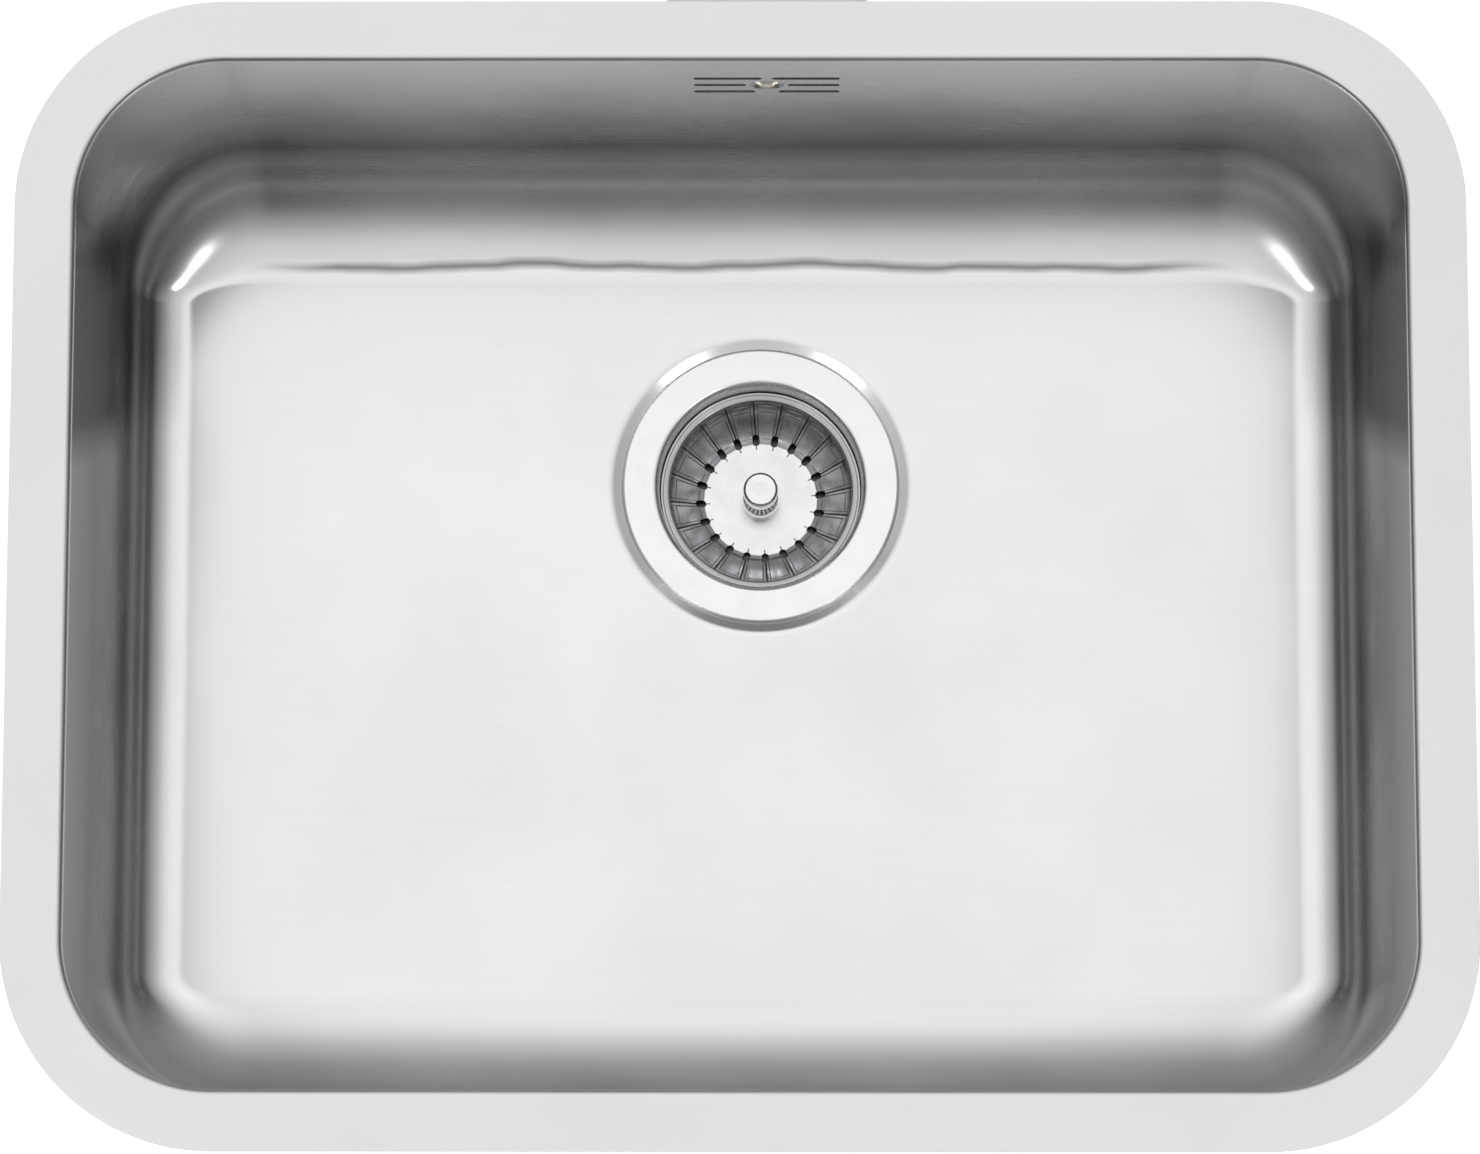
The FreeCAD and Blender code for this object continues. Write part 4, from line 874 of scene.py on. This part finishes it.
# the tree that cuts a slot at each crease
def strainTree(cut):
    inputs = [(label, "NodeSocketFloat", value) for label, value in strainShape.items()]
    tree, given, result = newTree("basketSlots", "GeometryNodeTree", [
        ("Geometry", "NodeSocketGeometry", None), ("Centre", "NodeSocketVector", None),
        ("Slots", "NodeSocketInt", basketShape["facets"])] + inputs, [("Geometry", "NodeSocketGeometry")])
    box = geometryNode(tree, "CurvePrimitiveQuadrilateral", {
        "Width": given["Length"], "Height": given["Width"]})
    outline = geometryNode(tree, "FilletCurve", {
        "Curve": box, "Count": cut["bendSteps"], "Radius": times(tree, given["Width"], cut["bend"])},
        mode="POLY")
    run = geometryNode(tree, "CurvePrimitiveLine", {
        "Start": (0, 0, cut["below"]), "End": (0, 0, cut["above"])})
    punch = geometryNode(tree, "CurveToMesh", {
        "Curve": run, "Profile Curve": outline, "Fill Caps": True})
    count = geometryNode(tree, "Points", {"Count": given["Slots"]})
    step = mathNode(tree, "DIVIDE", 2 * pi, given["Slots"])
    angle = mathNode(tree, "ADD", times(tree, geometryNode(tree, "InputIndex"), step), given["First"])
    place = vectorFrom(tree, X=times(tree, mathNode(tree, "COSINE", angle), given["Circle"]),
                       Y=times(tree, mathNode(tree, "SINE", angle), given["Circle"]))
    ring = geometryNode(tree, "SetPosition", {"Geometry": count, "Position": place})
    turn = vectorFrom(tree, Z=angle)
    endPunched(tree, given, result, {"Points": ring, "Instance": punch, "Rotation": turn},
               basketSteel, sharpAbove=12)
    return tree


basketMesh = bakeTree("strainerDish", strainTree(slotCut), makeBasket(basketShape),
                      Centre=(*wasteAt, basketShape["discTop"]), Slots=basketShape["facets"], **strainShape)
placePiece("strainerDish", basketMesh, "strainer_basket", "basket")
print("basket:", len(basketMesh.polygons), "faces")


# knob

knobShape = {
    "top": -201.2 * mm, "foot": -229.2 * mm, "capRadius": 7 * mm, "capHeight": 10 * mm, "dome": 0.25 * mm,
    "waistRadius": 5.2 * mm, "footRadius": 7.2 * mm, "footHeight": 3 * mm, "neck": 3 * mm,
    "groove": 0.35 * mm, "grooveRows": (2.6 * mm, 2.9 * mm, 3.4 * mm, 3.7 * mm),
    "crownEdge": 0.9 * mm, "sideTop": 1.2 * mm, "crownBend": 0.3 * mm, "sideBend": 0.5 * mm,
    "grooveBend": 0.1 * mm, "capBend": 0.8 * mm, "neckBend": 2 * mm, "footBend": 0.5 * mm, "steps": 72}


def makeKnob(shape):
    top, foot, cap, waist = shape["top"], shape["foot"], shape["capRadius"], shape["waistRadius"]
    capFoot, footTop = top - shape["capHeight"], foot + shape["footHeight"]
    profile = [(0, top), (cap * 0.5, top - shape["dome"] * 0.25),
               (cap - shape["crownEdge"], top - shape["dome"], shape["crownBend"]),
               (cap, top - shape["sideTop"], shape["sideBend"])]
    for down, inward in zip(shape["grooveRows"], (0, shape["groove"], shape["groove"], 0)):
        profile.append((cap - inward, top - down, shape["grooveBend"]))
    profile += [(cap, capFoot, shape["capBend"]), (waist, capFoot - shape["neck"], shape["neckBend"]),
                (waist, footTop + shape["neck"], shape["neckBend"]),
                (shape["footRadius"], footTop, shape["footBend"]), (shape["footRadius"], foot), (0, foot)]
    return turnedMesh("basketKnob", softPath(profile), wasteAt, shape["steps"], sharpAbove=35)


knobMesh = makeKnob(knobShape)
placePiece("basketKnob", knobMesh, "basket_knob", "basket")
print("knob done")


# finishes of the CAD nodes that stay

for part in frame["record"]["subparts"]:
    node = frame["nodes"][part["node"]]
    if node.hide_render:
        continue
    node.data.materials.clear()
    node.data.materials.append(materialOf[part["material_slot"]])
print("finishes on the CAD nodes done")


# floor

floorShape = {"radius": 3.0, "height": -0.2875, "steps": 96}
floorLook = {"rough": 0.9, "patchScale": 2.0, "tones": (0.88, 0.9), "glow": 0.43}


# a pale diffuse floor; seen from below it is clear, so that the underside can be looked at
def makeFloor(shape, look):
    material, tree, shader = newMaterial("paleFloor", Roughness=look["rough"], Emission_Color=(1, 1, 1, 1),
                                         Emission_Strength=look["glow"])
    patch = useGroup(tree, patchGroup, Place=objectPlace(tree), Scale=look["patchScale"]).outputs[0]
    tree.links.new(ramp(tree, patch, list(enumerate(look["tones"]))), shader.inputs["Base Color"])
    below = addNode(tree, "ShaderNodeNewGeometry").outputs["Backfacing"]
    clear = addNode(tree, "ShaderNodeBsdfTransparent").outputs[0]
    surface = addNode(tree, "ShaderNodeMixShader", {0: below, 1: shader.outputs[0], 2: clear}).outputs[0]
    tree.links.new(surface, tree.nodes["Material Output"].inputs["Surface"])
    profile = [(radius, shape["height"]) for radius in (0, shape["radius"])]
    mesh = turnedMesh("paleFloor", profile, (0, 0), shape["steps"])
    if mesh.polygons[0].normal.z < 0:
        mesh.flip_normals()
    mesh.materials.append(material)
    newObject("paleFloor", mesh)


makeFloor(floorShape, floorLook)
print("floor done")


# light

lightShape = {
    "strength": 1.3, "backGain": 1.5, "leftGain": 0.25,
    "ceiling": [(0.0, 0.05), (0.2, 0.1), (0.42, 0.23), (0.70, 0.5), (0.92, 0.9), (1.0, 1.0)]}


# a bright ceiling that falls off towards the walls, with the wall behind the sink lit as well
def makeWorld(shape):
    world = bpy.data.worlds.new("studio")
    world.use_nodes = True
    tree = world.node_tree
    tree.nodes.clear()
    direction = vectorParts(tree, addNode(tree, "ShaderNodeTexCoord").outputs["Generated"])
    back = mathNode(tree, "MAXIMUM", direction["Y"], 0.0)
    left = mathNode(tree, "MAXIMUM", times(tree, direction["X"], -1.0), 0.0)
    gain = mathNode(tree, "ADD", times(tree, mathNode(tree, "POWER", back, 2.0), shape["backGain"]),
                    times(tree, left, shape["leftGain"]))
    glow = greyRamp(tree, direction["Z"], shape["ceiling"])
    glow = times(tree, glow, mathNode(tree, "ADD", gain, 1.0))
    background = addNode(tree, "ShaderNodeBackground", {
        "Color": glow, "Strength": shape["strength"]})
    output = tree.nodes.new("ShaderNodeOutputWorld")
    tree.links.new(background.outputs[0], output.inputs["Surface"])
    scene.world = world


makeWorld(lightShape)


softboxShape = {"aim": (0, 0, -0.1), "side": 0.5, "power": 6}


def softbox(shape, name, place):
    light = bpy.data.lights.new(name, "AREA")
    light.shape = "RECTANGLE"
    light.size, light.size_y = shape["side"], shape["side"]
    light.energy = shape["power"]
    lamp = newObject(name, light)
    lamp.location = place
    lamp.rotation_euler = (Vector(shape["aim"]) - Vector(place)).to_track_quat("-Z", "Y").to_euler()


softbox(softboxShape, "frontLeft", (-1.25, -1.35, 1.9))
softbox(softboxShape, "frontRight", (1.22, -1.35, 1.9))
print("light done")


# camera

# place and angles from the fit to the photo, and the fitted focal length as a share of the frame's width
cameraShape = {
    "place": (0.00957, -0.27786, 1.91565), "elevation": 81.846, "yaw": 1.968, "roll": -1.934,
    "sensor": 36, "focal": 5256.2 / 1480}


def makeCamera(shape):
    elevation, yaw, roll = (radians(shape[key]) for key in ("elevation", "yaw", "roll"))
    forward = -Vector((sin(yaw) * cos(elevation), -cos(yaw) * cos(elevation), sin(elevation)))
    right = Vector((cos(yaw), sin(yaw), 0))
    up = right.cross(forward)
    rightRolled = right * cos(roll) + up * sin(roll)
    upRolled = up * cos(roll) - right * sin(roll)
    data = bpy.data.cameras.new("photoCamera")
    data.sensor_fit = "HORIZONTAL"
    data.sensor_width = shape["sensor"]
    data.lens = shape["focal"] * shape["sensor"]
    camera = newObject("photoCamera", data)
    turn = Matrix((rightRolled, upRolled, -forward)).transposed().to_4x4()
    camera.matrix_world = Matrix.Translation(shape["place"]) @ turn
    scene.camera = camera


makeCamera(cameraShape)
scene.view_settings.view_transform = "Standard"
